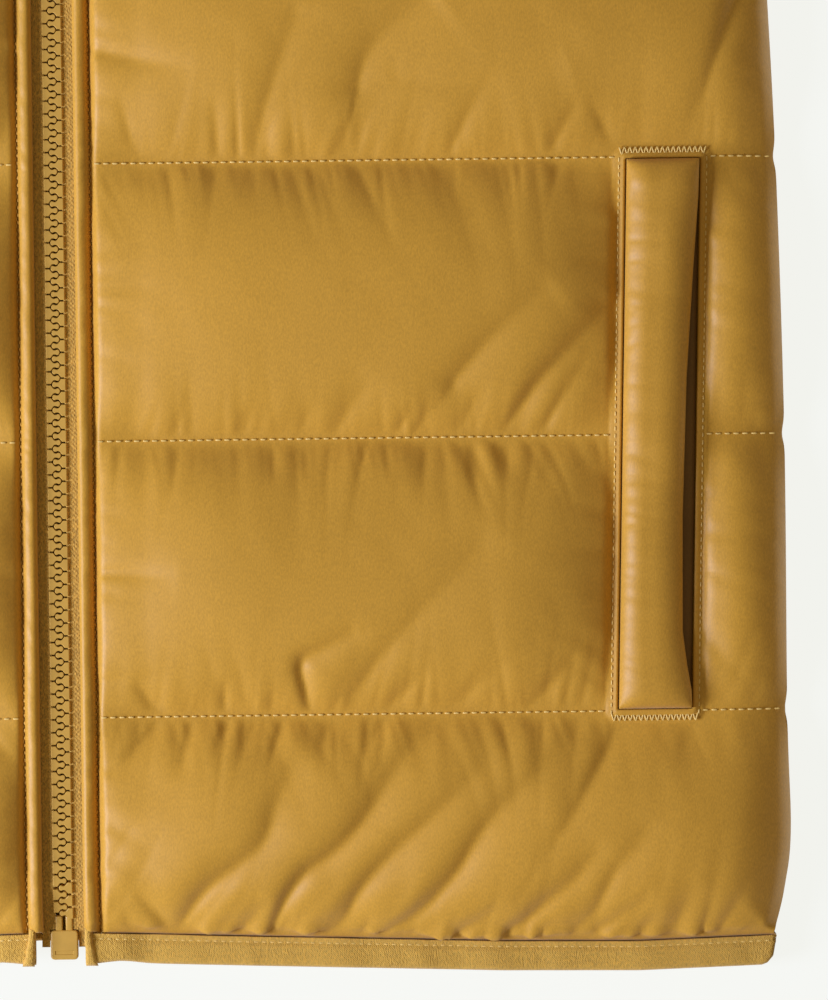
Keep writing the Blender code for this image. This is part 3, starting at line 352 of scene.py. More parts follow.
# Steep on a valley's left, where it is in shade, and a long slope on its right, softer along it.
def foldDepth(x, s, mirrored):
    total = np.zeros_like(x)
    for number, (startDepth, endDepth, startWidth, endWidth, points) in enumerate(folds):
        line = smoothLine(points, 5)
        if mirrored:  # the other front has like folds in other places
            shift = foldLook["shift"] * float(randomLine(float(number), 1.0, 5))
            line = line * (foldLook["likeness"], 1.0) + (shift, 0.0)
        run = runAlong(line)
        reach = 4.5 * max(startWidth, endWidth) + 2
        near = ((x > line[:, 0].min() - reach) & (x < line[:, 0].max() + reach)
                & (s > line[:, 1].min() - reach) & (s < line[:, 1].max() + reach))
        px, ps = x[near], s[near]
        best, share, side = np.full(px.shape, 1e9), np.zeros_like(px), np.ones_like(px)
        for i in range(len(line) - 1):
            step = line[i + 1] - line[i]
            along = np.clip(((px - line[i, 0]) * step[0] + (ps - line[i, 1]) * step[1]) / (step @ step), 0, 1)
            offX, offS = px - line[i, 0] - along * step[0], ps - line[i, 1] - along * step[1]
            away = np.hypot(offX, offS)
            closer = away < best
            best = np.where(closer, away, best)
            share = np.where(closer, (run[i] + along * (run[i + 1] - run[i])) / run[-1], share)
            side = np.where(closer, np.sign(step[0] * offS - step[1] * offX), side)
        slope = np.where(side > 0, foldLook["shaded"], foldLook["sunny"])
        width = (startWidth + (endWidth - startWidth) * share) * slope
        soft = 0.15 + 0.35 * width * share
        depth = startDepth + (endDepth - startDepth) * share
        depth = depth * np.clip((1.02 - share) / foldLook["fade"], 0, 1) ** (0.5 * (endDepth < 0.6))
        total[near] += foldLook["depth"] * depth * np.exp(-(np.sqrt(best ** 2 + soft ** 2) - soft) / width)
    return total


# Meshes
def toFrame(x, s, z):
    return np.stack([x, s - vest["middle"], z], axis=-1) * mm


def makeObject(name, bm, material, smooth=True):
    mesh = bpy.data.meshes.new(name)
    bm.to_mesh(mesh)
    bm.free()
    thing = bpy.data.objects.new(name, mesh)
    bpy.context.scene.collection.objects.link(thing)
    mesh.materials.append(material)
    if smooth:
        mesh.shade_smooth()
    return thing


def vertsOf(geometry):
    return [part for part in geometry if isinstance(part, bmesh.types.BMVert)]


def edgesOf(geometry):
    return [part for part in geometry if isinstance(part, bmesh.types.BMEdge)]


def placePoints(thing, points):
    thing.data.vertices.foreach_set("co", points.astype(np.float32).ravel())
    thing.data.update()


# Column, row and layer of each point of a net that was made with a unit grid.
def indexPoints(thing, columns, rows):
    flat = np.empty(len(thing.data.vertices) * 3, np.float32)
    thing.data.vertices.foreach_get("co", flat)
    x, y, layer = flat.reshape(-1, 3).T
    column = np.rint((x + 0.5) * (columns - 1)).astype(int)
    return column, np.rint((y + 0.5) * (rows - 1)).astype(int), np.rint(layer).astype(int)


# A closed pad between two nets, dense on both faces.
def slab(name, x, s, top, base, material, mirrored=False):
    rows, columns = x.shape
    bm = bmesh.new()
    bmesh.ops.create_grid(bm, x_segments=columns - 1, y_segments=rows - 1, size=0.5)
    lower = bmesh.ops.extrude_face_region(bm, geom=bm.faces[:])
    bmesh.ops.translate(bm, vec=(0, 0, 1), verts=vertsOf(lower["geom"]))
    bmesh.ops.recalc_face_normals(bm, faces=bm.faces[:])
    thing = makeObject(name, bm, material)
    column, row, layer = indexPoints(thing, columns, rows)
    height = np.where(layer == 1, top[row, column], base[row, column])
    placePoints(thing, toFrame(x[row, column], s[row, column], height))
    return mirrorObject(thing, mirrored)


def flipX(points, mirrored):
    return points * np.array([-1.0, 1.0, 1.0]) if mirrored else points


# Moves a finished piece to the vest's other side, where it is mirrored.
def mirrorObject(thing, mirrored):
    if not mirrored:
        return thing
    bm = bmesh.new()
    bm.from_mesh(thing.data)
    bmesh.ops.transform(bm, matrix=Matrix.Diagonal((-1, 1, 1, 1)), verts=bm.verts[:])
    bmesh.ops.reverse_faces(bm, faces=bm.faces[:])
    bm.to_mesh(thing.data)
    bm.free()
    return thing


# Materials
def nodeGroup(name, inputs, outputs):
    group = bpy.data.node_groups.new(name, "ShaderNodeTree")
    for socketName, kind, value in inputs:
        socket = group.interface.new_socket(socketName, in_out="INPUT", socket_type=kind)
        socket.default_value = value
    for socketName, kind in outputs:
        group.interface.new_socket(socketName, in_out="OUTPUT", socket_type=kind)
    nodes = group.nodes
    return group, nodes.new("NodeGroupInput"), nodes.new("NodeGroupOutput")


def addNode(tree, kind, inputs=(), **settings):
    node = tree.nodes.new(kind)
    for setting, value in settings.items():
        setattr(node, setting, value)
    for socket, value in dict(inputs).items():
        if isinstance(value, bpy.types.NodeSocket):
            tree.links.new(value, node.inputs[socket])
        else:
            node.inputs[socket].default_value = value
    return node


def addMath(tree, operation, *values):
    return addNode(tree, "ShaderNodeMath", enumerate(values), operation=operation).outputs[0]


# Spreads a value between start and end over the range from low to high.
def addRange(tree, value, low, high, start=0.0, end=1.0):
    ends = {"From Min": start, "From Max": end, "To Min": low, "To Max": high}
    return addNode(tree, "ShaderNodeMapRange", {"Value": value, **ends}).outputs[0]


# Two directions of yarn, with slubs, as a height and a shade.
def makeWeaveGroup():
    group, given, result = nodeGroup(
        "wovenYarns",
        (("Yarns per metre", "NodeSocketFloat", 3600.0), ("Slubs", "NodeSocketFloat", 0.5)),
        (("Height", "NodeSocketFloat"), ("Shade", "NodeSocketFloat")))
    place = addNode(group, "ShaderNodeTexCoord").outputs["Object"]
    parts = addNode(group, "ShaderNodeSeparateXYZ", {0: place})
    waves = []
    for axis in ("X", "Y"):
        yarns = addMath(group, "MULTIPLY", parts.outputs[axis], given.outputs["Yarns per metre"])
        waves.append(addMath(group, "SINE", addMath(group, "MULTIPLY", yarns, 2 * math.pi)))
    crossed = addMath(group, "MULTIPLY", *waves)
    slubScale = (2600.0, 1100.0, 1300.0)
    stretched = addNode(group, "ShaderNodeMapping", {"Vector": place, "Scale": slubScale}).outputs[0]
    slubs = addNode(group, "ShaderNodeTexNoise", {"Vector": stretched, "Scale": 1.0, "Detail": 2.0})
    weighted = addMath(group, "MULTIPLY", slubs.outputs["Fac"], given.outputs["Slubs"])
    crossedShare = 0.3
    height = addMath(group, "MULTIPLY_ADD", crossed, crossedShare, weighted)
    group.links.new(height, result.inputs["Height"])
    group.links.new(slubs.outputs["Fac"], result.inputs["Shade"])
    return group


# Slow changes of tone over a dyed cloth, a little lighter and darker in random patches.
def makeToneGroup():
    group, given, result = nodeGroup(
        "dyeTone",
        (("Colour", "NodeSocketColor", (0.5, 0.29, 0.06, 1)), ("Change", "NodeSocketFloat", 0.08),
         ("Patches per metre", "NodeSocketFloat", 22.0)),
        (("Colour", "NodeSocketColor"), ("Patch", "NodeSocketFloat")))
    place = addNode(group, "ShaderNodeTexCoord").outputs["Object"]
    patches = addNode(group, "ShaderNodeTexNoise",
                      {"Vector": place, "Scale": given.outputs["Patches per metre"], "Detail": 4.0})
    shift = addRange(group, patches.outputs["Fac"], -1.0, 1.0, 0.3, 0.7)
    amount = addMath(group, "MULTIPLY_ADD", shift, given.outputs["Change"], 1.0)
    toned = addNode(group, "ShaderNodeHueSaturation", {"Color": given.outputs["Colour"], "Value": amount})
    group.links.new(toned.outputs[0], result.inputs["Colour"])
    group.links.new(patches.outputs["Fac"], result.inputs["Patch"])
    return group


weaveGroup = makeWeaveGroup()
toneGroup = makeToneGroup()

finishes = {
    "shell": {"colour": (0.565, 0.285, 0.025), "roughness": 0.5, "yarns": 3300.0, "slubs": 0.6, "bump": 0.05,
              "change": 0.05, "grain": 0.26, "sheen": 0.12},
    "welt": {"colour": (0.555, 0.278, 0.025), "roughness": 0.5, "yarns": 3300.0, "slubs": 0.6, "bump": 0.05,
             "change": 0.05, "grain": 0.26, "sheen": 0.12},
    "binding": {"colour": (0.62, 0.345, 0.045), "roughness": 0.75, "yarns": 1500.0, "slubs": 2.0, "bump": 0.9,
                "change": 0.06, "grain": 0.5, "sheen": 0.25},
    # The pocket cloth's brown is darkened with painted shade of the pocket window's gap.
    "pocketClothPaintedShade": {"colour": (0.20, 0.10, 0.018), "roughness": 0.7, "yarns": 2200.0, "slubs": 0.8,
                    "bump": 0.1, "change": 0.08, "grain": 0.2, "sheen": 0.1},
    "tape": {"colour": (0.53, 0.29, 0.042), "roughness": 0.8, "yarns": 760.0, "slubs": 1.5, "bump": 1.0,
             "change": 0.08, "grain": 0.8, "sheen": 0.2},
}


def tonedMaterial(name, colour, change):
    material = bpy.data.materials.new(name)
    material.use_nodes = True
    tree = material.node_tree
    tone = addNode(tree, "ShaderNodeGroup", node_tree=toneGroup)
    tone.inputs["Colour"].default_value = (*colour, 1)
    tone.inputs["Change"].default_value = change
    return material, tree, tone


def linkFinish(tree, colour, rough, bump):
    shader = tree.nodes["Principled BSDF"]
    for source, socket in ((colour, "Base Color"), (rough, "Roughness"), (bump.outputs[0], "Normal")):
        tree.links.new(source, shader.inputs[socket])


def makeCloth(name):
    given = finishes[name]
    material, tree, tone = tonedMaterial(name, given["colour"], given["change"])
    shader = tree.nodes["Principled BSDF"]
    weave = addNode(tree, "ShaderNodeGroup", node_tree=weaveGroup)
    weave.inputs["Yarns per metre"].default_value = given["yarns"]
    weave.inputs["Slubs"].default_value = given["slubs"]
    shade = addRange(tree, weave.outputs["Shade"], 1 - given["grain"], 1 + given["grain"])
    colour = addNode(tree, "ShaderNodeHueSaturation", {"Color": tone.outputs["Colour"], "Value": shade})
    rough = addRange(tree, tone.outputs["Patch"], given["roughness"] - 0.05, given["roughness"] + 0.05)
    relief = {"Height": weave.outputs["Height"], "Strength": given["bump"], "Distance": 0.0002}
    linkFinish(tree, colour.outputs[0], rough, addNode(tree, "ShaderNodeBump", relief))
    shader.inputs["Sheen Weight"].default_value = given["sheen"]
    shader.inputs["Specular IOR Level"].default_value = 0.35
    return material


# Moulded resin or painted metal with a faint grain and rubbed tone.
def makeMoulded(name, colour, roughness, change):
    material, tree, tone = tonedMaterial(name, colour, change)
    tone.inputs["Patches per metre"].default_value = 260.0
    place = addNode(tree, "ShaderNodeTexCoord").outputs["Object"]
    grain = addNode(tree, "ShaderNodeTexNoise", {"Vector": place, "Scale": 2600.0, "Detail": 2.0})
    rough = addRange(tree, grain.outputs["Fac"], roughness - 0.06, roughness + 0.06)
    relief = {"Height": grain.outputs["Fac"], "Strength": 0.15, "Distance": 0.00005}
    linkFinish(tree, tone.outputs["Colour"], rough, addNode(tree, "ShaderNodeBump", relief))
    return material


shellCloth = makeCloth("shell")
weltCloth = makeCloth("welt")
bindingCloth = makeCloth("binding")
# Pocket cloth: its own brown with painted shade of the window's gap.
pocketClothPaintedShade = makeCloth("pocketClothPaintedShade")
tapeCloth = makeCloth("tape")
mouldedResin = makeMoulded("mouldedResin", (0.56, 0.315, 0.052), 0.38, 0.06)
paintedMetal = makeMoulded("paintedMetal", (0.46, 0.262, 0.06), 0.33, 0.05)
# Pale thread: its own yellow, lightened to the stitches' lit tone, so part of it is painted highlight.
sewingThreadPaintedHighlight = makeMoulded("sewingThreadPaintedHighlight", (0.76, 0.51, 0.14), 0.5, 0.1)
print("materials made")


# Front panels
net = {
    "edge": (0.0, 0.25, 0.6, 1.1, 1.7, 2.4, 3.1, 3.7, 4.2, 4.6, 4.85, 5.05, 5.3, 5.65, 6.1, 6.7, 7.4, 8.2,
             9.0, 9.8, 10.6, 11.4, 12.2, 13.1, 14.0),
    "step": 0.86,  # between columns
    "side": (14.0, 12.9, 11.8, 10.7, 9.7, 8.7, 7.7, 6.7, 5.8, 4.9, 4.1, 3.3, 2.6, 1.9, 1.3, 0.85, 0.45,
             0.15, 0.0),
    "lowerRows": (0.42, 1.16, 1.5),  # first step from a quilting line, growth, largest step
    "upperRows": (0.7, 1.3, 3.6),
    "firstUpperChannel": 4,
}


# Shares of a length, with steps that grow from both its ends.
def growingSteps(length, first, growth, largest):
    half, step = [], first
    while sum(half) + step < length / 2:
        half.append(step)
        step = min(step * growth, largest)
    at = np.cumsum(half)
    rest = length - 2 * at[-1]
    count = math.ceil(rest / largest)
    middle = [at[-1] + rest * (i + 1) / count for i in range(count - 1)]
    return np.concatenate([at, middle, length - at[::-1]]) / length


# Start, end, share of its channel, channel and channel's height of every row of the net.
def panelRows():
    inner = frontArmhole[1]
    heights = (vest["hemSeam"],) + vest["quilting"]
    rows = [((vest["frontEdge"], heights[0]), (float(sideX(heights[0])), heights[0]), 0.0, 0, 63.5)]
    for channel in range(len(vest["quilting"])):
        low, high = heights[channel], heights[channel + 1]
        steps = net["lowerRows"] if channel < net["firstUpperChannel"] else net["upperRows"]
        shares = list(growingSteps(high - low, *steps)) + [1.0]
        if low < vest["underarm"] < high:
            corner = vest["underarm"] + np.array([0.0, 0.12, 0.35, 0.7, 1.2])
            shares = sorted(shares + list((corner - low) / (high - low)))
        for share in shares:
            s = low + share * (high - low)
            below = s <= inner[0, 1]
            dropped = s + hemSag(sideX(s)) * (1 - share) if channel == 0 else s
            end = sideX(dropped) if below else np.interp(s, inner[:, 1], inner[:, 0])
            rows.append(((vest["frontEdge"], s), (float(end), s), share, channel, high - low))
    return rows + shoulderRows()


# The last channel's rows swing from level to the slope of the shoulder.
def shoulderRows():
    low, top = vest["quilting"][-1], frontArmhole[1][-1, 1]
    line = np.vstack([[(vest["frontEdge"], low)], neckLine])
    run = runAlong(line)
    shares = sorted(list(growingSteps(run[-1], 0.7, 1.3, 2.6)) + [run[1] / run[-1], 1.0])
    rows = []
    for share in shares:
        start = [float(np.interp(share * run[-1], run, line[:, axis])) for axis in (0, 1)]
        s = low + share * (top - low)
        end = float(np.interp(s, frontArmhole[1][:, 1], frontArmhole[1][:, 0]))
        rows.append((tuple(start), (end, s), share, len(vest["quilting"]), 86.0))
    return rows


def panelNet():
    edge, side = np.array(net["edge"]), np.array(net["side"])
    first, last = vest["frontEdge"] + edge[-1], pocket["x"] + pocket["width"] / 2 + 4.0
    left = pocket["x"] - pocket["width"] / 2
    middle = list(np.linspace(first, left, round((left - first) / net["step"]) + 1)[1:])
    middle += list(np.linspace(left, left + pocket["width"], 17)[1:])
    middle += list(np.linspace(left + pocket["width"], last, 7)[1:])
    zone = np.linspace(0, 1, 8)[1:-1]
    middle = np.array(middle)
    xs, ss, shares, channels, lengths = [], [], [], [], []
    for start, end, share, channel, length in panelRows():
        start, end = np.array(start), np.array(end)
        width = np.linalg.norm(end - start)
        lean = pocket["lean"] * np.clip(start[1] - pocket["middle"], -90.0, 90.0)
        exact = middle + lean * np.clip((middle - 110.0) / (left - 110.0), 0, 1) - vest["frontEdge"]
        scaled = edge[-1] + (exact - edge[-1]) * (width - side[0] - edge[-1]) / (200.0 - edge[-1])
        blend = np.clip((start[1] - 245.0) / 50.0, 0, 1)
        inside = exact * (1 - blend) + scaled * blend
        between = inside[-1] + zone * (width - side[0] - inside[-1])
        columns = np.concatenate([edge, inside, between, width - side])
        points = start + (end - start) * (columns / width)[:, None]
        sag = hemSag(points[:, 0]) * (1 - share) if channel == 0 else 0.0
        xs.append(points[:, 0])
        ss.append(points[:, 1] + sag)
        for found, value in ((shares, share), (channels, channel), (lengths, length)):
            found.append(np.full(len(points), value))
    return [np.array(found) for found in (xs, ss, shares, channels, lengths)]


# Padding in millimetres. Beside the zip, the side and the pocket: first round rise, its share, full rise.
puff = {
    "line": 2.1, "channel": 9.8, "hemChannel": 9.2, "wander": 0.8, "crease": 0.12, "deepest": 12.0,
    "droop": 2.4,
    "zip": ((2.5, 0.42, 50.0), (10.0, 0.35, 50.0)), "side": (4.5, 0.5, 36.0), "pocket": (3.5, 0.32, 34.0),
    "profile": 2.1, "hemCurve": 0.5, "curve": 0.72,  # how square a channel's section is
    "stitch": 5.05, "groove": (1.5, 0.85),  # the needle line's place, depth and width
    "strip": 3.3, "stripRound": 1.9, "stripFall": (1.1, 2.0, 3.0, 1.5), "stripWrinkle": (0.55, 3.4, 1.5, 3.2),
}


# Cloth and padding over the inner face, with its gathers and folds.
def panelThickness(x, s, share, channel, length, mirrored):
    seed = 4000 if mirrored else 1000
    fromEdge = np.minimum(x - vest["frontEdge"], distanceTo(x, s, neckLine))
    fromSide = np.minimum(distanceTo(x, s, sideEdge()), distanceTo(x, s, frontArmhole[1]))
    fromPocket = outsidePocket(x, s) - pocket["frame"]
    steep = np.where((channel == 0) & (share < 0.5), puff["hemCurve"], puff["curve"])
    steep = steep + (puff["curve"] - steep) * np.minimum(6 * share, 1)
    fill = (1 - np.abs(2 * share - 1) ** puff["profile"]) ** steep
    fromStitch = fromEdge - puff["stitch"]
    for fromSeam, (quick, start, slow) in ((fromStitch, puff["zip"][mirrored]), (fromSide, puff["side"]),
                                           (fromPocket, puff["pocket"])):
        rise = np.clip(fromSeam / slow, 0, 1)
        fill *= roundEdge(fromSeam, quick) * (start + (1 - start) * rise * (2 - rise))
    height = np.where(channel == 0, puff["hemChannel"], puff["channel"])
    puffed = (height + puff["wander"] * randomField(x, s, 48.0, 33.0, seed + 1)) * fill
    valleys = foldDepth(x, s, mirrored)
    fromLine = np.minimum(share, 1 - share) * length
    nearLine = channel + (share > 0.5)
    for line in range(8):
        for above in (0, 1):
            here = (nearLine == line) & ((share <= 0.5) == bool(above))
            if here.any():
                atHem = line == 0
                valleys[here] += gatherDepth(x[here], fromLine[here], seed + 100 * line + 50 * above,
                                             "hemRows" if atHem else "rows", 0.8 if atHem else 0.15)
    for fromSeam, deep, extra in ((fromStitch, 0.4, 1700), (fromSide, 0.5, 1800), (fromPocket, 0.4, 1900)):
        outside = fromSeam > 0
        place = s[outside] + 0.2 * x[outside]
        valleys[outside] += deep * gatherDepth(place, fromSeam[outside], seed + extra)
    small = randomField(x + 0.4 * s, s, 7.0, 10.0, seed + 2) * randomField(x, s, 30.0, 25.0, seed + 3)
    valleys += puff["crease"] * (1 + small)
    valleys = puff["deepest"] * np.tanh(valleys / puff["deepest"])
    puffed = np.maximum(puffed, 1e-4)
    thick = puff["line"] + puffed * np.exp(-valleys / (puffed + 0.25))
    deep, wide = puff["groove"]
    groove = np.exp(-(fromStitch / wide) ** 2)
    strip = puff["strip"] * (0.3 + 0.7 * roundEdge(fromEdge, puff["stripRound"]))
    strip -= (puff["strip"] - puff["line"] + deep) * groove
    fall, fallStart, fallRun, fallPower = puff["stripFall"]
    strip -= fall * np.clip((fromEdge - fallStart) / fallRun, 0, 1) ** fallPower
    ripple, rippleAt, rippleWidth, ripplePitch = puff["stripWrinkle"]
    wrinkled = np.abs(randomLine(s - 0.3 * x, ripplePitch, seed + 9)) ** 0.6
    strip -= ripple * (1 - wrinkled) * np.exp(-((fromEdge - rippleAt) / rippleWidth) ** 2)
    thick = np.where(fromEdge < puff["stitch"], strip, thick - deep * groove)
    frameShare = 1 - np.clip(fromPocket / pocket["frameRun"], 0, 1)
    frameThick = pocket["frameThick"] - 0.9 * np.exp(-(fromPocket / 0.5) ** 2)
    framed = np.maximum(thick - 0.5 * frameShare, puff["line"] + (frameThick - puff["line"]) * frameShare)
    thick = np.where(fromPocket < pocket["frameRun"], framed, thick)
    bound = np.minimum(distanceTo(x, s, hemLine()), distanceTo(x, s, frontArmhole[1]))
    return np.where(bound < 0.05, layers["edge"], thick)


# A dense top face, with the pocket's window, closed by a plain inner face.
def frontPanel(name, mirrored):
    x, s, share, channel, length = panelNet()
    rows, columns = x.shape
    base = frontBase(x, s)
    thick = panelThickness(x, s, share, channel, length, mirrored)
    top = frontBase(x, s, softRamp) + thick
    fromHem = np.where(channel == 0, share * length, 1e3)
    droop = puff["droop"] * np.exp(-((fromHem - 1.7) / 1.4) ** 2) * np.clip((thick - 3.0) / 1.0, 0, 1)
    bm = bmesh.new()
    bmesh.ops.create_grid(bm, x_segments=columns - 1, y_segments=rows - 1, size=0.5)
    window = []
    for face in bm.faces:
        centre = face.calc_center_median()
        column, row = int((centre.x + 0.5) * (columns - 1)), int((centre.y + 0.5) * (rows - 1))
        midX = x[row:row + 2, column:column + 2].mean()
        midS = s[row:row + 2, column:column + 2].mean()
        if outsidePocket(midX, midS) < 0:
            window.append(face)
    outer = [edge for edge in bm.edges if edge.is_boundary]
    bmesh.ops.delete(bm, geom=window, context="FACES")
    rim = [edge for edge in bm.edges if edge.is_boundary and edge not in set(outer)]
    sunk = bmesh.ops.extrude_edge_only(bm, edges=rim)["geom"]
    bmesh.ops.translate(bm, vec=(0, 0, -10), verts=vertsOf(sunk))
    bmesh.ops.contextual_create(bm, geom=[edge for edge in edgesOf(sunk) if edge.is_boundary])
    for depth in (1, 2):
        made = bmesh.ops.extrude_edge_only(bm, edges=outer)["geom"]
        verts = vertsOf(made)
        bmesh.ops.translate(bm, vec=(0, 0, -1), verts=verts)
        outer = [edge for edge in edgesOf(made) if edge.is_boundary]
    inset = (len(net["edge"]) - 1, columns - len(net["side"]), np.searchsorted(s[:, 0], 23.0), rows - 8)
    for vert in verts:
        column = np.clip(round((vert.co.x + 0.5) * (columns - 1)), inset[0], inset[1])
        row = np.clip(round((vert.co.y + 0.5) * (rows - 1)), inset[2], inset[3])
        vert.co.x, vert.co.y = column / (columns - 1) - 0.5, row / (rows - 1) - 0.5
    bmesh.ops.remove_doubles(bm, verts=verts, dist=1e-5)
    bmesh.ops.contextual_create(bm, geom=[edge for edge in bm.edges if edge.is_boundary])
    bmesh.ops.recalc_face_normals(bm, faces=bm.faces[:])
    thing = makeObject(name, bm, shellCloth)
    column, row, layer = indexPoints(thing, columns, rows)
    inside = layers["backPadding"] + 1.2 + layers["tapeLift"]
    height = np.select([layer == 0, layer == -1, layer == -10],
                       [top[row, column], base[row, column], pocket["floor"]], inside)
    lowered = s[row, column] - np.where(layer == 0, droop[row, column], 0.0)
    placePoints(thing, flipX(toFrame(x[row, column], lowered, height), mirrored))
    if mirrored:
        thing.data.flip_normals()
    return thing


panels = {}
for side, mirrored in sides:
    panel = frontPanel(f"quiltedFront_{side}", mirrored)
    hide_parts(f"front_{side}")
    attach(panel, "garment")
    panels[side] = panel
print("front panels made", len(panels["left"].data.polygons), "faces each")


# Something that finds a point of these pieces from straight above.
def surfaceOf(*things):
    graph = bpy.context.evaluated_depsgraph_get()
    return [BVHTree.FromObject(thing, graph) for thing in things]


# Place and normal of the highest face under a point, in metres.
def dropOn(trees, x, s):
    best = None
    for tree in trees:
        start = Vector((x * mm, (s - vest["middle"]) * mm, 0.2))
        place, normal, index, distance = tree.ray_cast(start, Vector((0, 0, -1)))
        if place and (best is None or place.z > best[0].z):
            best = (place, normal)
    return best


# Back and collar
backLift = {"rise": 6.2, "half": 17.0, "reach": 40.0}  # behind the zip's foot


# The back's hem curves up behind the zip's foot.
def liftBehindZip(thing):
    points = np.empty(len(thing.data.vertices) * 3, np.float32)
    thing.data.vertices.foreach_get("co", points)
    points = points.reshape(-1, 3)
    x, s = points[:, 0] / mm, points[:, 1] / mm + vest["middle"]
    across, along = np.exp(-(x / backLift["half"]) ** 4), np.exp(-np.maximum(s, 0) / backLift["reach"])
    points[:, 1] += backLift["rise"] * mm * across * along
    placePoints(thing, points)


backNet = {
    "hemRows": (0, 0.5, 1.2, 2.2, 4, 6.5, 9.5, 14), "rows": (18, 330, 80),  # heights over the hem's seam
    "underarmRows": (332, 332.2, 332.6, 333.3, 334.4, 336, 338.5), "upperRows": (342, 472.5, 50),
    "topRows": 30, "columns": 34, "edge": (14.0, 11.0, 8.0, 5.5, 3.5, 2.0, 1.0, 0.3, 0.0),
    "under": (1.3, 2.2),  # how its inner edge lifts, and over what width
}


# A back row's places across, denser towards both its ends.
def backColumns(width):
    edge = backNet["edge"]
    half = np.concatenate([np.linspace(0, width - edge[0], backNet["columns"]), width - np.array(edge[1:])])
    return np.concatenate([-half[:0:-1], half])


def backPanel():
    inner = backArmhole[1]
    heights = vest["hemSeam"] + np.concatenate([backNet["hemRows"], np.linspace(*backNet["rows"]),
                                                backNet["underarmRows"], np.linspace(*backNet["upperRows"])])
    top = inner[-1, 1]
    xs, ss = [], []
    for s in heights:
        inHem = np.clip((vest["quilting"][0] - s) / (vest["quilting"][0] - vest["hemSeam"]), 0, 1)
        dropped = s + hemSag(sideX(s)) * inHem
        width = float(sideX(dropped) if s <= vest["underarm"] else np.interp(s, inner[:, 1], inner[:, 0]))
        columns = backColumns(width)
        xs.append(columns)
        ss.append(s + hemSag(columns) * inHem)
    backNeckLine = smoothLine(vest["backNeck"])
    for share in np.linspace(0, 1, backNet["topRows"])[1:]:
        s = vest["quilting"][-1] + share * (top - vest["quilting"][-1])
        width = float(np.interp(s, inner[:, 1], inner[:, 0]))
        columns = backColumns(width)
        limit = np.where(np.abs(columns) < vest["backNeck"][-1][0],
                         np.interp(np.abs(columns), backNeckLine[:, 0], backNeckLine[:, 1]),
                         shoulderHeight(np.abs(columns)))
        xs.append(columns)
        ss.append(vest["quilting"][-1] + share * (limit - vest["quilting"][-1]))
    x, s = np.array(xs), np.array(ss)
    away = np.abs(x)
    backEdge = np.minimum(distanceTo(away, s, hemLine()), distanceTo(away, s, backArmhole[1]))
    folded = np.minimum(distanceTo(away, s, sideEdge()), distanceTo(away, s, shoulderLine))
    fullness = ramp(np.minimum(np.minimum(backEdge, folded), distanceTo(away, s, backNeckLine)))
    upper = paddedTop(fullness)
    lift, liftRun = backNet["under"]
    lower = lift * (1 - roundEdge(distanceTo(away, s, sideEdge()), liftRun))
    return slab("quiltedBack", x, s, upper, lower, shellCloth)


back = backPanel()
liftBehindZip(back)
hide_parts("back")
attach(back, "garment")

collar = {
    "puff": 6.0, "strip": (2.9, 1.5, 0.8, 0.9), "rounds": (12.0, 14.0, 14.0, 9.0), "step": 1.5,
    "edge": (0.0, 0.3, 0.8, 1.5, 2.4, 3.4, 4.3, 4.9, 5.1, 5.4, 6.0, 7.0, 8.2, 9.6, 11.2, 13.0),
    "tail": (9.0, 6.0, 4.0, 2.4, 1.2, 0.5, 0.0), "rows": (0.0, 0.3, 0.8, 1.5, 2.4, 3.5, 4.8, 6.4, 8.4),
    "rowCount": 34, "backRowCount": 24, "backColumns": (0, 64, 40),
    "backTail": (67.0, 69.5, 71.5, 73.0, 74.2, 75.0),
}


def collarNet(low, high, rowSteps, rowCount):
    away = (high - low) / np.linalg.norm(high - low, axis=1)[:, None]
    normal = insetLine(low, vest["seam"])
    normal[0, 0] = low[0, 0]
    length = np.linalg.norm(high - normal, axis=1)
    ends = np.array(rowSteps)
    rows = [normal + away * distance for distance in ends]
    rows += [normal + away * (ends[-1] + share * (length[:, None] - 2 * ends[-1]))
             for share in np.linspace(0, 1, rowCount)[1:-1]]
    rows += [normal + away * (length[:, None] - distance) for distance in ends[::-1]]
    net2d = np.array(rows)
    return net2d[:, :, 0], net2d[:, :, 1]


def collarFront(name, mirrored):
    run = runAlong(neckLine)
    start = collar["edge"][-1]
    tail = run[-1] - np.array(collar["tail"])
    inside = np.linspace(start, tail[0], round((tail[0] - start) / collar["step"]))
    places = np.concatenate([collar["edge"], inside[1:], tail[1:]])
    low = pointsAlong(places, run, neckLine)
    topLine = smoothLine(vest["collarFrontTop"])
    topRun = runAlong(topLine)
    mapped = start + (places - start) * (topRun[-1] - start) / (run[-1] - start)
    topPlaces = np.where(places > start, mapped, places)
    high = pointsAlong(topPlaces, topRun, topLine)
    count = len(collar["edge"])
    high[:count, 0] = low[:count, 0]
    x, s = collarNet(low, high, collar["rows"], collar["rowCount"])
    seed = 7000 + 500 * mirrored
    fromNeck, fromTop = distanceTo(x, s, low), distanceTo(x, s, high)
    fromEdge = x - vest["frontEdge"]
    atZip, atEnd, atNeck, atTop = collar["rounds"]
    fill = roundEdge(fromEdge - puff["stitch"], atZip) * roundEdge(distanceTo(x, s, collarEnd), atEnd)
    fill *= roundEdge(fromNeck, atNeck) * roundEdge(fromTop, atTop)
    puffed = np.maximum(collar["puff"] * fill, 1e-4)
    valleys = 0.6 * gatherDepth(x * 1.3 + 0.2 * s, fromNeck, seed) + 0.35 * gatherDepth(x, fromTop, seed + 50)
    stripThick, stripRound, deep, wide = collar["strip"]
    strip = stripThick * (0.35 + 0.65 * roundEdge(fromEdge, stripRound))
    strip -= deep * np.exp(-((fromEdge - puff["stitch"]) / wide) ** 2)
    thick = layers["edge"] + puffed * np.exp(-valleys / (puffed + 0.25))
    thick = np.where(fromEdge < puff["stitch"], np.maximum(strip * roundEdge(fromTop, 3.0), 1.0), thick)
    base = frontBase(x, s)
    return slab(name, x, s, base + thick, base, shellCloth, mirrored)


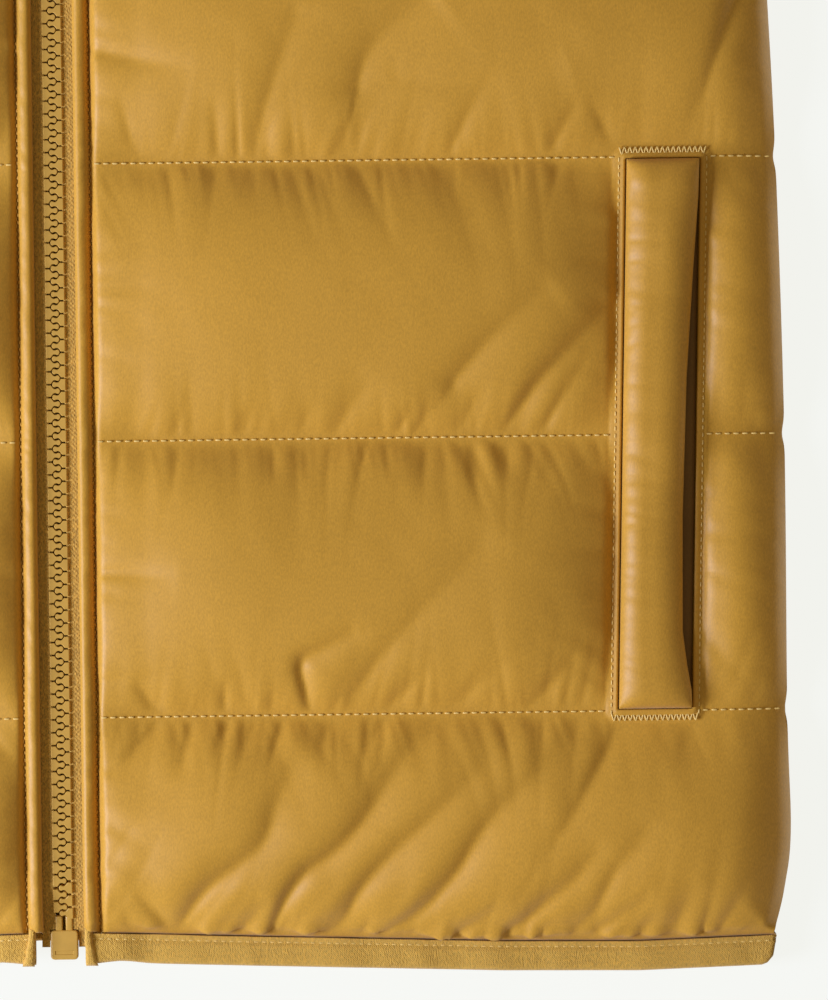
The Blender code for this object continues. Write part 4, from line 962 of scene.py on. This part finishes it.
def collarBack():
    across = np.concatenate([np.linspace(*collar["backColumns"]), collar["backTail"]])
    neck, top = smoothLine(vest["backNeck"]), smoothLine(vest["collarBackTop"])
    low = np.column_stack([across, np.interp(across, neck[:, 0], neck[:, 1])])
    highX = across * top[-1, 0] / across[-1]
    high = np.column_stack([highX, np.interp(highX, top[:, 0], top[:, 1])])
    x, s = collarNet(low, high, collar["rows"], collar["backRowCount"])
    x = np.concatenate([-x[:, :0:-1], x], axis=1)
    s = np.concatenate([s[:, :0:-1], s], axis=1)
    away = np.abs(x)
    fromNeck, fromTop = distanceTo(away, s, low), distanceTo(away, s, high)
    fullness = ramp(np.minimum(fromNeck, distanceTo(away, s, collarEnd)))
    fullness = np.minimum(fullness, roundEdge(fromTop, 8.0))
    gathered = 0.2 * (gatherDepth(x, fromNeck, 8100) + gatherDepth(x, fromTop, 8200))
    relief = -np.minimum(gathered, 1.5) * fullness
    upper = np.minimum(paddedTop(fullness) + relief, layers["backPadding"] + 0.2)
    lift, liftRun = backNet["under"]
    lower = lift * (1 - roundEdge(np.minimum(fromTop, distanceTo(away, s, collarEnd)), liftRun))
    return slab("paddedCollarBack", x, s, upper, lower, shellCloth)


collarPieces = {"collar_left": collarFront("paddedCollar_left", False),
                "collar_right": collarFront("paddedCollar_right", True), "collar_back": collarBack()}
for node, piece in collarPieces.items():
    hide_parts(node)
    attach(piece, "garment")
print("back and collar made")


# Bindings: a strip folded over an edge, as an open section with its own thickness
binding = {
    "width": 8.7, "thick": 3.6, "cloth": 0.8, "round": 1.5, "stitchIn": 1.5, "step": 1.6, "seam": 0.05,
    "sunk": (0.45, 0.8),  # depth and width of its line of stitches
    "waves": ((0.22, 3.1), (0.30, 11.0)),
}
hemEnd = {"outer": 209.3, "cornerStart": 205.9, "cornerRun": 3.4, "cornerRise": 2.4, "cornerPower": 2.2}


# Distance in from the fold and height of a folded strip, from its upper edge round to its lower one.
def bindingSection():
    width, thick, radius = binding["width"], binding["thick"], binding["round"]
    deep, wide = binding["sunk"]
    top = [(width - d, thick - deep * math.exp(-((d - binding["stitchIn"]) / wide) ** 2))
           for d in (0.0, 0.25, 0.6, 1.0, 1.5, 2.0, 2.6, 3.4, 4.4, 5.4, 6.3)]
    bend = [(radius - radius * math.sin(a), thick / 2 + thick / 2 * math.cos(a))
            for a in np.linspace(0, math.pi, 11)[1:-1]]
    bottom = [(d, 0.0) for d in (radius, 3.0, 5.0, width)]
    return np.array(top + bend + bottom)


# Carries the section along an edge between its fold line and its seam line.
def bindingStrip(name, node, outer, inner, bottom, seed, mirrored=False):
    section = bindingSection()
    run = runAlong(inner)
    places = np.linspace(0, run[-1], max(8, round(run[-1] / binding["step"])))
    outer, inner = pointsAlong(places, run, outer), pointsAlong(places, run, inner)
    bottom = np.interp(places, run, bottom)
    across = (inner - outer) / np.linalg.norm(inner - outer, axis=1)[:, None]
    width = np.linalg.norm(inner - outer, axis=1)
    bm = bmesh.new()
    bmesh.ops.create_grid(bm, x_segments=len(section) - 1, y_segments=len(places) - 1, size=0.5)
    thing = makeObject(name, bm, bindingCloth)
    column, row, layer = indexPoints(thing, len(section), len(places))
    inward, rise = section[column].T
    scale = width[row] / binding["width"]
    plane = outer[row] + across[row] * (inward * scale)[:, None]
    pulled = np.exp(-((inward - binding["width"] + binding["stitchIn"]) / 1.6) ** 2)
    (small, smallPitch), (large, largePitch) = binding["waves"]
    wave = small * randomLine(places[row] + 0.35 * inward, smallPitch, seed) * (1 - pulled)
    wave += large * randomLine(places[row] + 0.2 * inward, largePitch, seed + 1)
    rise = np.where(rise > 0.1, rise + wave * np.clip(rise / binding["thick"], 0, 1), rise)
    placePoints(thing, flipX(toFrame(plane[:, 0], plane[:, 1], bottom[row] + rise), mirrored))
    bm = bmesh.new()
    bm.from_mesh(thing.data)
    upperFaces = (bottom.min() + 2.9) * mm
    facing = sum((face.normal.z for face in bm.faces if face.calc_center_median().z > upperFaces), 0.0)
    if facing < 0:
        bmesh.ops.reverse_faces(bm, faces=bm.faces[:])
    bm.to_mesh(thing.data)
    bm.free()
    wall = thing.modifiers.new("cloth", "SOLIDIFY")
    wall.thickness = binding["cloth"] * mm
    wall.offset = -1.0
    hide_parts(node)
    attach(thing, "garment")
    return thing


# Fold line and seam line of the hem, rounded at its outer end and drawn in a little beside the zip.
def hemEdge(start, count=90):
    t = np.concatenate([np.linspace(0, 0.97, count - 8), np.linspace(0.975, 1, 8)])
    innerX = start + t * (float(sideX(vest["hemSeam"])) - start)
    outerX = start + t * (hemEnd["outer"] - start)
    turned = np.clip((outerX - hemEnd["cornerStart"]) / hemEnd["cornerRun"], 0, 1)
    corner = hemEnd["cornerRise"] * turned ** hemEnd["cornerPower"]
    drawn = 0.7 * np.exp(-((outerX - start - 11.0) / 5.0) ** 2) - 0.5 * np.exp(-((outerX - start) / 4.0) ** 2)
    outer = np.column_stack([outerX, hemSag(outerX) + corner + drawn])
    inner = np.column_stack([innerX, hemSag(innerX) + binding["width"]])
    return outer, inner


def makeBindings():
    made = {}
    for side, mirrored in sides:
        outer, inner = hemEdge(vest["frontEdge"] + (2.4 if mirrored else 0.6))
        bottom = frontBase(inner[:, 0], inner[:, 1] + vest["seam"]) - layers["tuck"]
        made[f"hem_{side}"] = bindingStrip(
            f"hemBinding_{side}", f"hem_binding_{side}", outer, inner, bottom, 300 + mirrored, mirrored)
        for layer, lines in (("front", frontArmhole), ("back", backArmhole)):
            outer, edge = lines
            away = (outer - edge) / np.linalg.norm(outer - edge, axis=1)[:, None]
            inner = edge + binding["seam"] * away
            onFront = layer == "front"
            bottom = frontBase(edge[:, 0], edge[:, 1]) - layers["tuck"] if onFront else np.zeros(len(edge))
            made[f"armhole_{layer}_{side}"] = bindingStrip(
                f"armholeBinding_{layer}_{side}", f"armhole_binding_{layer}_{side}", outer, inner, bottom,
                320 + 3 * mirrored + 7 * onFront, mirrored)
    outer, inner = hemEdge(0.0)
    outer[:, 1] = np.maximum(outer[:, 1], hemSag(outer[:, 0]))
    outer = np.vstack([outer[:0:-1] * (-1, 1), outer])
    inner = np.vstack([inner[:0:-1] * (-1, 1), inner])
    flat = np.zeros(len(inner))
    made["hem_back"] = bindingStrip("hemBinding_back", "hem_binding_back", outer, inner, flat, 350)
    return made


bindings = makeBindings()
liftBehindZip(bindings["hem_back"])


foldedEnd = {
    "rows": 34, "columns": 12, "bottom": -0.9, "length": 11.3, "width": 2.7, "taper": 0.7, "lift": 2.3,
    "edge": 0.3, "crown": 1.3,
}


# The binding's end, turned over and sewn beside the zip.
def bindingEnd(name, mirrored):
    start = vest["frontEdge"] + (2.3 if mirrored else 0.1)
    up = np.linspace(0, 1, foldedEnd["rows"])[:, None]
    across = np.linspace(0, 1, foldedEnd["columns"])[None, :]
    s = foldedEnd["bottom"] + up * foldedEnd["length"] + 0 * across
    width = foldedEnd["width"] - foldedEnd["taper"] * up
    x = start + 0.9 * (1 - up) ** 2 * (0.4 + across) + across * width
    x = x + 0.15 * randomLine(s, 2.0, 61 + mirrored)
    base = frontBase(x, np.maximum(s, 9.3)) + foldedEnd["lift"] - 0.6 * (1 - np.clip(up * 6, 0, 1))
    crown = roundEdge(across, 0.4) * roundEdge(1 - across, 0.4) * roundEdge(up, 0.1) * roundEdge(1 - up, 0.1)
    thing = slab(name, x, s, base + foldedEnd["edge"] + foldedEnd["crown"] * crown, base, bindingCloth)
    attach(thing, "garment")
    return mirrorObject(thing, mirrored)


for side, mirrored in sides:
    bindings[f"end_{side}"] = bindingEnd(f"hemBindingEnd_{side}", mirrored)
print("bindings made")


# Welt pockets
weltShape = {
    "rows": 190, "columns": 40, "lift": 1.6, "edge": 2.2, "crown": 5.0, "uneven": 0.6, "deepest": 1.6,
    "gapAt": (0.0, 0.03, 0.08, 0.14, 0.35, 0.6, 0.8, 0.93, 1.0),  # shares of its length from the bottom
    "gap": (0.2, 0.4, 1.9, 3.3, 3.8, 3.2, 1.7, 0.5, 0.3),
    "inner": 0.34, "outer": 0.48, "ends": 0.06,  # how soon its crown rises
}
bagShape = {"rows": 60, "columns": 14, "room": 0.4, "endRoom": 0.5, "lift": 0.3, "thick": 0.9, "uneven": 0.1}


def weltPad(name, mirrored):
    share = np.linspace(0, 1, weltShape["rows"])[:, None]
    gap = np.interp(share, weltShape["gapAt"], weltShape["gap"])
    left, right = -pocket["width"] / 2 + vest["seam"], pocket["width"] / 2 - gap
    across = 0.5 - 0.5 * np.cos(np.pi * np.linspace(0, 1, weltShape["columns"]))[None, :]
    length = pocket["top"] - pocket["bottom"] - 2 * vest["seam"]
    s = pocket["bottom"] + vest["seam"] + share * length + 0 * across
    x = pocket["x"] + pocket["lean"] * (s - pocket["middle"]) + left + across * (right - left)
    crown = roundEdge(across, weltShape["inner"]) * roundEdge(1 - across, weltShape["outer"])
    crown = crown * roundEdge(share, weltShape["ends"]) * roundEdge(1 - share, weltShape["ends"])
    seed = 9000 + 300 * mirrored
    fromSeam = across * (right - left)
    fromMouth = (1 - across) * (right - left)
    gathered = 0.3 * gatherDepth(s, fromSeam, seed) + 0.15 * gatherDepth(s, fromMouth, seed + 40)
    relief = weltShape["uneven"] * randomField(x, s, 14.0, 21.0, seed + 80)
    relief = relief - np.minimum(gathered, weltShape["deepest"])
    base = np.full_like(x, pocket["floor"] + weltShape["lift"])
    padded = base + weltShape["edge"] + np.maximum(weltShape["crown"] + relief, 0) * crown
    return slab(name, x, s, padded, base, weltCloth, mirrored)


# The pocket's cloth in its window. Its dark brown is its own colour plus painted shade of the gap beside the
# welt.
def pocketFloor(name, mirrored):
    across = np.linspace(-1, 1, bagShape["columns"])[None, :] * (pocket["width"] / 2 - bagShape["room"])
    low, high = pocket["bottom"] + bagShape["endRoom"], pocket["top"] - bagShape["endRoom"]
    s = np.linspace(low, high, bagShape["rows"])[:, None] + 0 * across
    x = pocket["x"] + pocket["lean"] * (s - pocket["middle"]) + across
    base = np.full_like(x, pocket["floor"] + bagShape["lift"])
    uneven = bagShape["uneven"] * randomField(x, s, 5.0, 9.0, 77)
    return slab(name, x, s, base + bagShape["thick"] + uneven, base, pocketClothPaintedShade, mirrored)


for side, mirrored in sides:
    welt = weltPad(f"welt_{side}", mirrored)
    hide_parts(f"pocket_welt_{side}")
    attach(welt, "garment")
    panels[f"welt_{side}"] = welt
    bag = pocketFloor(f"pocketClothPaintedShade_{side}", mirrored)
    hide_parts(f"pocket_bag_{side}")
    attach(bag, "garment")
print("pockets made")


# Zip
zipper = {
    "tapeInner": 2.4, "tapeOuter": 12.5, "tapeThick": 0.7, "overBack": 1.3,
    "tapeBottom": 4.6, "tapeTop": 577.0,
    "narrowUnder": (9.8, 6.6), "wideOver": (565.0, 5.0),  # heights where the tape changes, and its edge there
    "bead": (0.25, 0.5), "pitch": 3.8, "toothThick": 2.3, "toothEdge": 0.16,
    "tooth": ((3.0, 1.45), (2.8, 1.7), (1.55, 1.7), (1.2, 1.3), (0.95, 0.93), (0.7, 0.7), (0.35, 0.6),
              (0.0, 0.65), (-0.35, 0.8), (-0.7, 0.8), (-0.95, 0.62), (-1.15, 0.27)),  # across, half length
    "first": 15.0, "last": 565.0, "boxWidth": 8.1, "boxBottom": 0.9, "boxTop": 9.6, "boxThick": 2.9,
}


pin = {"size": (2.1, 5.0, 1.9), "edge": 0.45, "across": 1.5, "height": 11.7, "slope": 0.35}
slotInBox = {"low": -2.9, "high": -1.7, "half": 2.8, "rim": 0.18, "deep": 0.18}


def bevelEdges(bm, edges, offset, segments):
    bmesh.ops.bevel(bm, geom=edges, offset=offset, segments=segments, profile=0.5, affect="EDGES",
                    material=-1)


def zipHeight(s):
    rise = ramp(np.asarray(s, float) - vest["hemSeam"])
    return binding["thick"] + (layers["backPadding"] - binding["thick"]) * rise + zipper["overBack"]


def tapeStrip(name, mirrored):
    parts = ((zipper["tapeBottom"], 9.7, 8), (9.9, 30, 20), (33, 564.6, 150), (565.6, zipper["tapeTop"], 5))
    s = np.concatenate([np.linspace(*part) for part in parts])[:, None]
    (foot, footEdge), (head, headEdge) = zipper["narrowUnder"], zipper["wideOver"]
    near = np.where(s < foot, zipper["boxWidth"] / 2 + 0.2, zipper["tapeInner"])
    near = np.where(s > head, headEdge, near)
    far = np.where(s < foot, footEdge, zipper["tapeOuter"])
    across = np.linspace(0, 1, 12)[None, :]
    x = near + across * (far - near)
    s = s + 0 * x
    base = zipHeight(s)
    raised, wide = zipper["bead"]
    edgeBead = raised * np.exp(-((x - near) / wide) ** 2)
    return slab(name, x, s, base + zipper["tapeThick"] + edgeBead, base, tapeCloth, mirrored)


# One moulded tooth: wide on its tape, with a waist and a rounded head that sits between two others.
def toothMesh():
    outline = np.array(zipper["tooth"])
    bm = bmesh.new()
    bmesh.ops.create_grid(bm, x_segments=len(outline) - 1, y_segments=1, size=0.5)
    lower = bmesh.ops.extrude_face_region(bm, geom=bm.faces[:])
    bmesh.ops.translate(bm, vec=(0, 0, 1), verts=vertsOf(lower["geom"]))
    for vert in bm.verts:
        across, half = outline[round((vert.co.x + 0.5) * (len(outline) - 1))]
        thick = zipper["toothThick"] * (1.0 if across < 2.9 else 0.6)
        vert.co = (across, half * (1 if vert.co.y > 0 else -1), thick * (0.5 if vert.co.z > 0.5 else -0.5))
    bmesh.ops.recalc_face_normals(bm, faces=bm.faces[:])
    rim = [edge for edge in bm.edges if edge.calc_face_angle(0) > 0.9 and max(v.co.z for v in edge.verts) > 0
           and min(v.co.z for v in edge.verts) > 0]
    bevelEdges(bm, rim, zipper["toothEdge"], 1)
    return bm


# All the teeth of one tape; the other tape's teeth sit half a pitch further.
def toothRow(name, mirrored):
    tooth = toothMesh()
    bmesh.ops.scale(tooth, vec=(mm, mm, mm), verts=tooth.verts[:])
    source = bpy.data.meshes.new("tooth")
    tooth.to_mesh(source)
    tooth.free()
    bm = bmesh.new()
    s = zipper["first"] + (0.5 * zipper["pitch"] if mirrored else 0.0)
    while s < zipper["last"]:
        start = len(bm.verts)
        bm.from_mesh(source)
        bm.verts.ensure_lookup_table()
        fresh = bm.verts[start:]
        slope = math.atan2(float(zipHeight(s + 1) - zipHeight(s - 1)), 2.0)
        bmesh.ops.rotate(bm, cent=(0, 0, 0), matrix=Matrix.Rotation(slope, 3, "X"), verts=fresh)
        middle = float(zipHeight(s)) + zipper["tapeThick"] / 2
        bmesh.ops.translate(bm, vec=Vector((0, s - vest["middle"], middle)) * mm, verts=fresh)
        s += zipper["pitch"]
    thing = makeObject(name, bm, mouldedResin, smooth=False)
    return mirrorObject(thing, mirrored)


def pinPost(name, mirrored):
    bm = bmesh.new()
    bmesh.ops.create_cube(bm, size=1.0)
    bmesh.ops.scale(bm, vec=pin["size"], verts=bm.verts[:])
    bevelEdges(bm, bm.edges[:], pin["edge"], 3)
    height = float(zipHeight(pin["height"])) + zipper["tapeThick"] / 2
    tilt = Matrix.Rotation(math.atan(pin["slope"]), 3, "X")
    bmesh.ops.rotate(bm, cent=(0, 0, 0), matrix=tilt, verts=bm.verts[:])
    bmesh.ops.translate(bm, vec=(pin["across"], pin["height"] - vest["middle"], height), verts=bm.verts[:])
    bmesh.ops.scale(bm, vec=(mm, mm, mm), verts=bm.verts[:])
    thing = makeObject(name, bm, mouldedResin)
    return mirrorObject(thing, mirrored)


# The box at the zip's foot: a bare rounded block with a shallow slot across its lower part.
def retainerBox():
    bm = bmesh.new()
    width, height, thick = zipper["boxWidth"], zipper["boxTop"] - zipper["boxBottom"], zipper["boxThick"]
    bmesh.ops.create_cube(bm, size=1.0)
    bmesh.ops.scale(bm, vec=(width, height, thick), verts=bm.verts[:])
    upright = [edge for edge in bm.edges if abs(edge.verts[0].co.z - edge.verts[1].co.z) > 1.0]
    bevelEdges(bm, upright, 1.1, 4)
    level = [edge for edge in bm.edges if edge.calc_face_angle(0) > 1.2]
    bevelEdges(bm, level, 0.45, 3)
    low, high, half = slotInBox["low"], slotInBox["high"], slotInBox["half"]
    across, along = (1, 0, 0), (0, 1, 0)
    cuts = ((0, low, 0), along), ((0, high, 0), along), ((-half, 0, 0), across), ((half, 0, 0), across)
    for place, direction in cuts:
        above = [face for face in bm.faces if face.calc_center_median().z > thick / 2 - 0.02]
        rims = {edge for face in above for edge in face.edges}
        ends = {vert for face in above for vert in face.verts}
        bmesh.ops.bisect_plane(bm, geom=above + list(rims) + list(ends), plane_co=place, plane_no=direction)
    slot = [face for face in bm.faces if face.calc_center_median().z > thick / 2 - 0.02
            and abs(face.calc_center_median().x) < half and low < face.calc_center_median().y < high]
    bmesh.ops.inset_region(bm, faces=slot, thickness=slotInBox["rim"], depth=-slotInBox["deep"])
    middle = float(zipHeight(zipper["boxBottom"])) + zipper["tapeThick"] / 2
    place = (0, (zipper["boxBottom"] + zipper["boxTop"]) / 2 - vest["middle"], middle)
    bmesh.ops.translate(bm, vec=place, verts=bm.verts[:])
    bmesh.ops.scale(bm, vec=(mm, mm, mm), verts=bm.verts[:])
    return makeObject("retainerBox", bm, mouldedResin, smooth=False)


for side, mirrored in sides:
    tape = tapeStrip(f"zipTape_{side}", mirrored)
    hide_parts(f"zip_tape_{side}")
    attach(tape, "garment")
    for piece, node in ((toothRow(f"zipTeeth_{side}", mirrored), f"zip_chain_{side}"),
                        (pinPost(f"zipPin_{side}", mirrored), f"zip_pin_{side}")):
        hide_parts(node)
        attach(piece, "garment")
box = retainerBox()
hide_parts("zip_retainer_box")
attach(box, "garment")
for node in ("zip_slider", "zip_pull_tab"):
    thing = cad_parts[node]
    for slotIndex in range(len(thing.material_slots)):
        thing.material_slots[slotIndex].material = paintedMetal
print("zip made")


# Sewing
sewing = {
    "quilt": {"pitch": 2.66, "length": 1.75, "width": 0.62, "height": 0.6},
    "edge": {"pitch": 2.2, "length": 1.3, "width": 0.4, "height": 0.3},
    "frame": {"pitch": 2.2, "length": 1.45, "width": 0.5, "height": 0.5},
    "between": {"pitch": 2.2, "length": 1.2, "width": 0.8, "height": 0.8},
    "hem": {"pitch": 2.4, "length": 1.3, "width": 0.5, "height": 0.45},
    "tack": {"pitch": 0.8, "reach": 2.5, "width": 0.5},
}


def stitchShape():
    bm = bmesh.new()
    bmesh.ops.create_uvsphere(bm, u_segments=6, v_segments=5, radius=0.5)
    bmesh.ops.rotate(bm, cent=(0, 0, 0), matrix=Matrix.Rotation(math.pi / 2, 3, "Y"), verts=bm.verts[:])
    for vert in bm.verts:
        vert.co.x = math.copysign(0.5 * abs(2 * vert.co.x) ** 0.6, vert.co.x)
    mesh = bpy.data.meshes.new("stitch")
    bm.to_mesh(mesh)
    bm.free()
    return mesh


stitchSource = stitchShape()


# One stitch at a place, lying along the seam on the cloth.
def addStitch(bm, place, along, normal, size):
    side = normal.cross(along).normalized()
    along = side.cross(normal).normalized()
    turn = Matrix((along, side, normal)).transposed()
    start = len(bm.verts)
    bm.from_mesh(stitchSource)
    bm.verts.ensure_lookup_table()
    fresh = bm.verts[start:]
    bmesh.ops.scale(bm, vec=Vector(size) * mm, verts=fresh)
    bmesh.ops.rotate(bm, cent=(0, 0, 0), matrix=turn, verts=fresh)
    bmesh.ops.translate(bm, vec=place, verts=fresh)


# Even stitches along a line of points, on whatever lies beneath.
def sewLine(bm, trees, line, kind, sink=0.0):
    given = sewing[kind]
    line = np.array(line, float)
    run = runAlong(line)
    count = int(run[-1] // given["pitch"])
    sewn = bmesh.new()
    for i in range(count):
        at = (i + 0.5) * given["pitch"]
        x, s = [float(np.interp(at, run, line[:, axis])) for axis in (0, 1)]
        x2, s2 = [float(np.interp(min(at + 0.5, run[-1]), run, line[:, axis])) for axis in (0, 1)]
        found = dropOn(trees, x, s)
        if found is None or (x2 == x and s2 == s):
            continue
        place, normal = found
        if normal.z < 0.5:
            normal = Vector((0, 0, 1))
        place = place + normal * (0.1 - sink) * mm
        size = (given["length"], given["width"], given["height"])
        addStitch(sewn, place, Vector((x2 - x, s2 - s, 0)), normal, size)
    joinInto(bm, sewn)


def joinInto(bm, part):
    mesh = bpy.data.meshes.new("part")
    part.to_mesh(mesh)
    part.free()
    bm.from_mesh(mesh)
    bpy.data.meshes.remove(mesh)


# A bar tack: close slanting stitches across a line.
def zigzag(bm, trees, start, end, reach):
    given = sewing["tack"]
    start, end = np.array(start, float), np.array(end, float)
    run = np.linalg.norm(end - start)
    along = (end - start) / run
    across = np.array([-along[1], along[0]])
    count = int(run // given["pitch"])
    for i in range(count):
        at = start + along * (i + 0.5) * given["pitch"]
        lean = 1 if i % 2 else -1
        found = dropOn(trees, float(at[0]), float(at[1]))
        if found is None:
            continue
        place, normal = found
        direction = across * reach + along * lean * given["pitch"]
        addStitch(bm, place + Vector((0, 0, 0.15 * mm)), Vector((*direction, 0)), Vector((0, 0, 1)),
                  (float(np.hypot(*direction)), given["width"], 0.4))


def mirrorLine(line, mirrored):
    return np.array(line, float) * ((-1, 1) if mirrored else (1, 1))


def sewSide(side, mirrored):
    trees = surfaceOf(panels[side], panels[f"welt_{side}"], bindings[f"hem_{side}"],
                      bindings[f"armhole_front_{side}"], collarPieces[f"collar_{side}"])
    panel = trees[:1]
    bm = bmesh.new()
    edgeX = vest["frontEdge"] + puff["stitch"]
    for line in vest["quilting"]:
        inner = frontArmhole[1]
        far = float(sideX(line) if line < vest["underarm"] else np.interp(line, inner[:, 1], inner[:, 0]))
        spans = [(edgeX + 0.6, far - 0.6)]
        if pocket["bottom"] - 2 < line < pocket["top"] + 2:
            middle = pocket["x"] + pocket["lean"] * (line - pocket["middle"])
            half = pocket["width"] / 2 + pocket["frame"] + 0.6
            spans = [(edgeX + 0.6, middle - half), (middle + half, far - 0.6)]
        for x0, x1 in spans:
            sewLine(bm, panel, mirrorLine([(x0, line), (x1, line)], mirrored), "quilt", -0.1)
    along = [(edgeX, vest["hemSeam"] + 0.6), (edgeX, vest["frontNeck"][0][1] - 0.6)]
    sewLine(bm, panel, mirrorLine(along, mirrored), "edge", 0.25)
    low, high = pocket["bottom"] - pocket["frame"], pocket["top"] + pocket["frame"]
    frameX = [pocket["x"] + turn * (pocket["width"] / 2 + pocket["frame"]) for turn in (-1, 1)]
    for x in frameX:
        ends = [(x + pocket["lean"] * (s - pocket["middle"]), s) for s in (low, high)]
        sewLine(bm, panel, mirrorLine(ends, mirrored), "frame")
    for s in (low - 0.3, high + 0.3):
        ends = [(x + pocket["lean"] * (s - pocket["middle"]), s) for x in frameX]
        zigzag(bm, trees[:2], *mirrorLine(ends, mirrored), sewing["tack"]["reach"])
    outer, inner = hemEdge(vest["frontEdge"] + 1.5)
    sewLine(bm, trees[2:3], mirrorLine(inner - (0, binding["stitchIn"]), mirrored), "hem", 0.12)
    outer, edge = frontArmhole
    sewLine(bm, trees[3:4], mirrorLine(edge + (outer - edge) * 0.2, mirrored), "hem")
    top = np.array([(edgeX, vest["frontNeck"][0][1] + 1.2), (edgeX, 575.0)])
    sewLine(bm, trees[4:], mirrorLine(top, mirrored), "edge")
    thing = makeObject(f"sewing_{side}", bm, sewingThreadPaintedHighlight)
    raised = bmesh.new()  # the strip's cloth swells between the stitches
    along = [(edgeX - 0.62, vest["hemSeam"] + 1.7), (edgeX - 0.62, vest["frontNeck"][0][1] - 0.6)]
    sewLine(raised, panel, mirrorLine(along, mirrored), "between", 0.1)
    swollen = makeObject(f"edgeSwells_{side}", raised, shellCloth)
    for piece in (thing, swollen):
        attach(piece, "garment")
    return thing


for side, mirrored in sides:
    sewn = sewSide(side, mirrored)
    print("sewing made", side, len(sewn.data.polygons), "faces")


# Stage
stage = {
    "paper": (0.05, 0.05, 0.05), "paperSize": 2.5, "glow": (0.896, 0.905, 0.863), "glowPower": 0.97,
    "sky": 0.27, "skyColour": (1.08, 0.94, 0.68),
    "lampPower": 21.5, "lampColour": (0.98, 1.09, 1.5), "lampSize": 0.54,
    "lampPlace": (-1.05, -0.46, 0.7), "lampAim": (0.08, -0.17, 0.0),
    "centre": (105.0, 135.4), "heightSeen": 294.0, "lens": 200.0, "sensor": 36.0, "turn": -0.75,
}


def makeStage():
    bm = bmesh.new()
    bmesh.ops.create_grid(bm, x_segments=1, y_segments=1, size=stage["paperSize"])
    bmesh.ops.translate(bm, vec=(0, 0, -0.0002), verts=bm.verts[:])
    material = bpy.data.materials.new("paper")
    material.use_nodes = True
    shader = material.node_tree.nodes["Principled BSDF"]
    shader.inputs["Base Color"].default_value = (*stage["paper"], 1)
    shader.inputs["Roughness"].default_value = 0.9
    shader.inputs["Emission Color"].default_value = (*stage["glow"], 1)
    shader.inputs["Emission Strength"].default_value = stage["glowPower"]
    makeObject("paperFloor", bm, material)
    world = bpy.data.worlds.new("studio")
    world.use_nodes = True
    world.node_tree.nodes["Background"].inputs["Color"].default_value = (*stage["skyColour"], 1)
    world.node_tree.nodes["Background"].inputs["Strength"].default_value = stage["sky"]
    bpy.context.scene.world = world
    lampData = bpy.data.lights.new("window", "AREA")
    lampData.energy = stage["lampPower"]
    lampData.size = stage["lampSize"]
    lampData.color = stage["lampColour"]
    lamp = bpy.data.objects.new("window", lampData)
    bpy.context.scene.collection.objects.link(lamp)
    lamp.location = stage["lampPlace"]
    aim = Vector(stage["lampAim"]) - lamp.location
    lamp.rotation_mode = "QUATERNION"
    lamp.rotation_quaternion = aim.to_track_quat("-Z", "Y")
    cameraData = bpy.data.cameras.new("camera")
    cameraData.lens = stage["lens"]
    cameraData.sensor_width = stage["sensor"]
    camera = bpy.data.objects.new("camera", cameraData)
    bpy.context.scene.collection.objects.link(camera)
    across, along = stage["centre"]
    away = stage["heightSeen"] / stage["sensor"] * stage["lens"]
    camera.location = Vector((across, along - vest["middle"], away + 15.0)) * mm
    camera.rotation_euler = (0, 0, math.radians(stage["turn"]))
    cameraData.clip_end = 20.0
    bpy.context.scene.camera = camera
    bpy.context.scene.view_settings.view_transform = "Standard"


makeStage()
print("stage made")
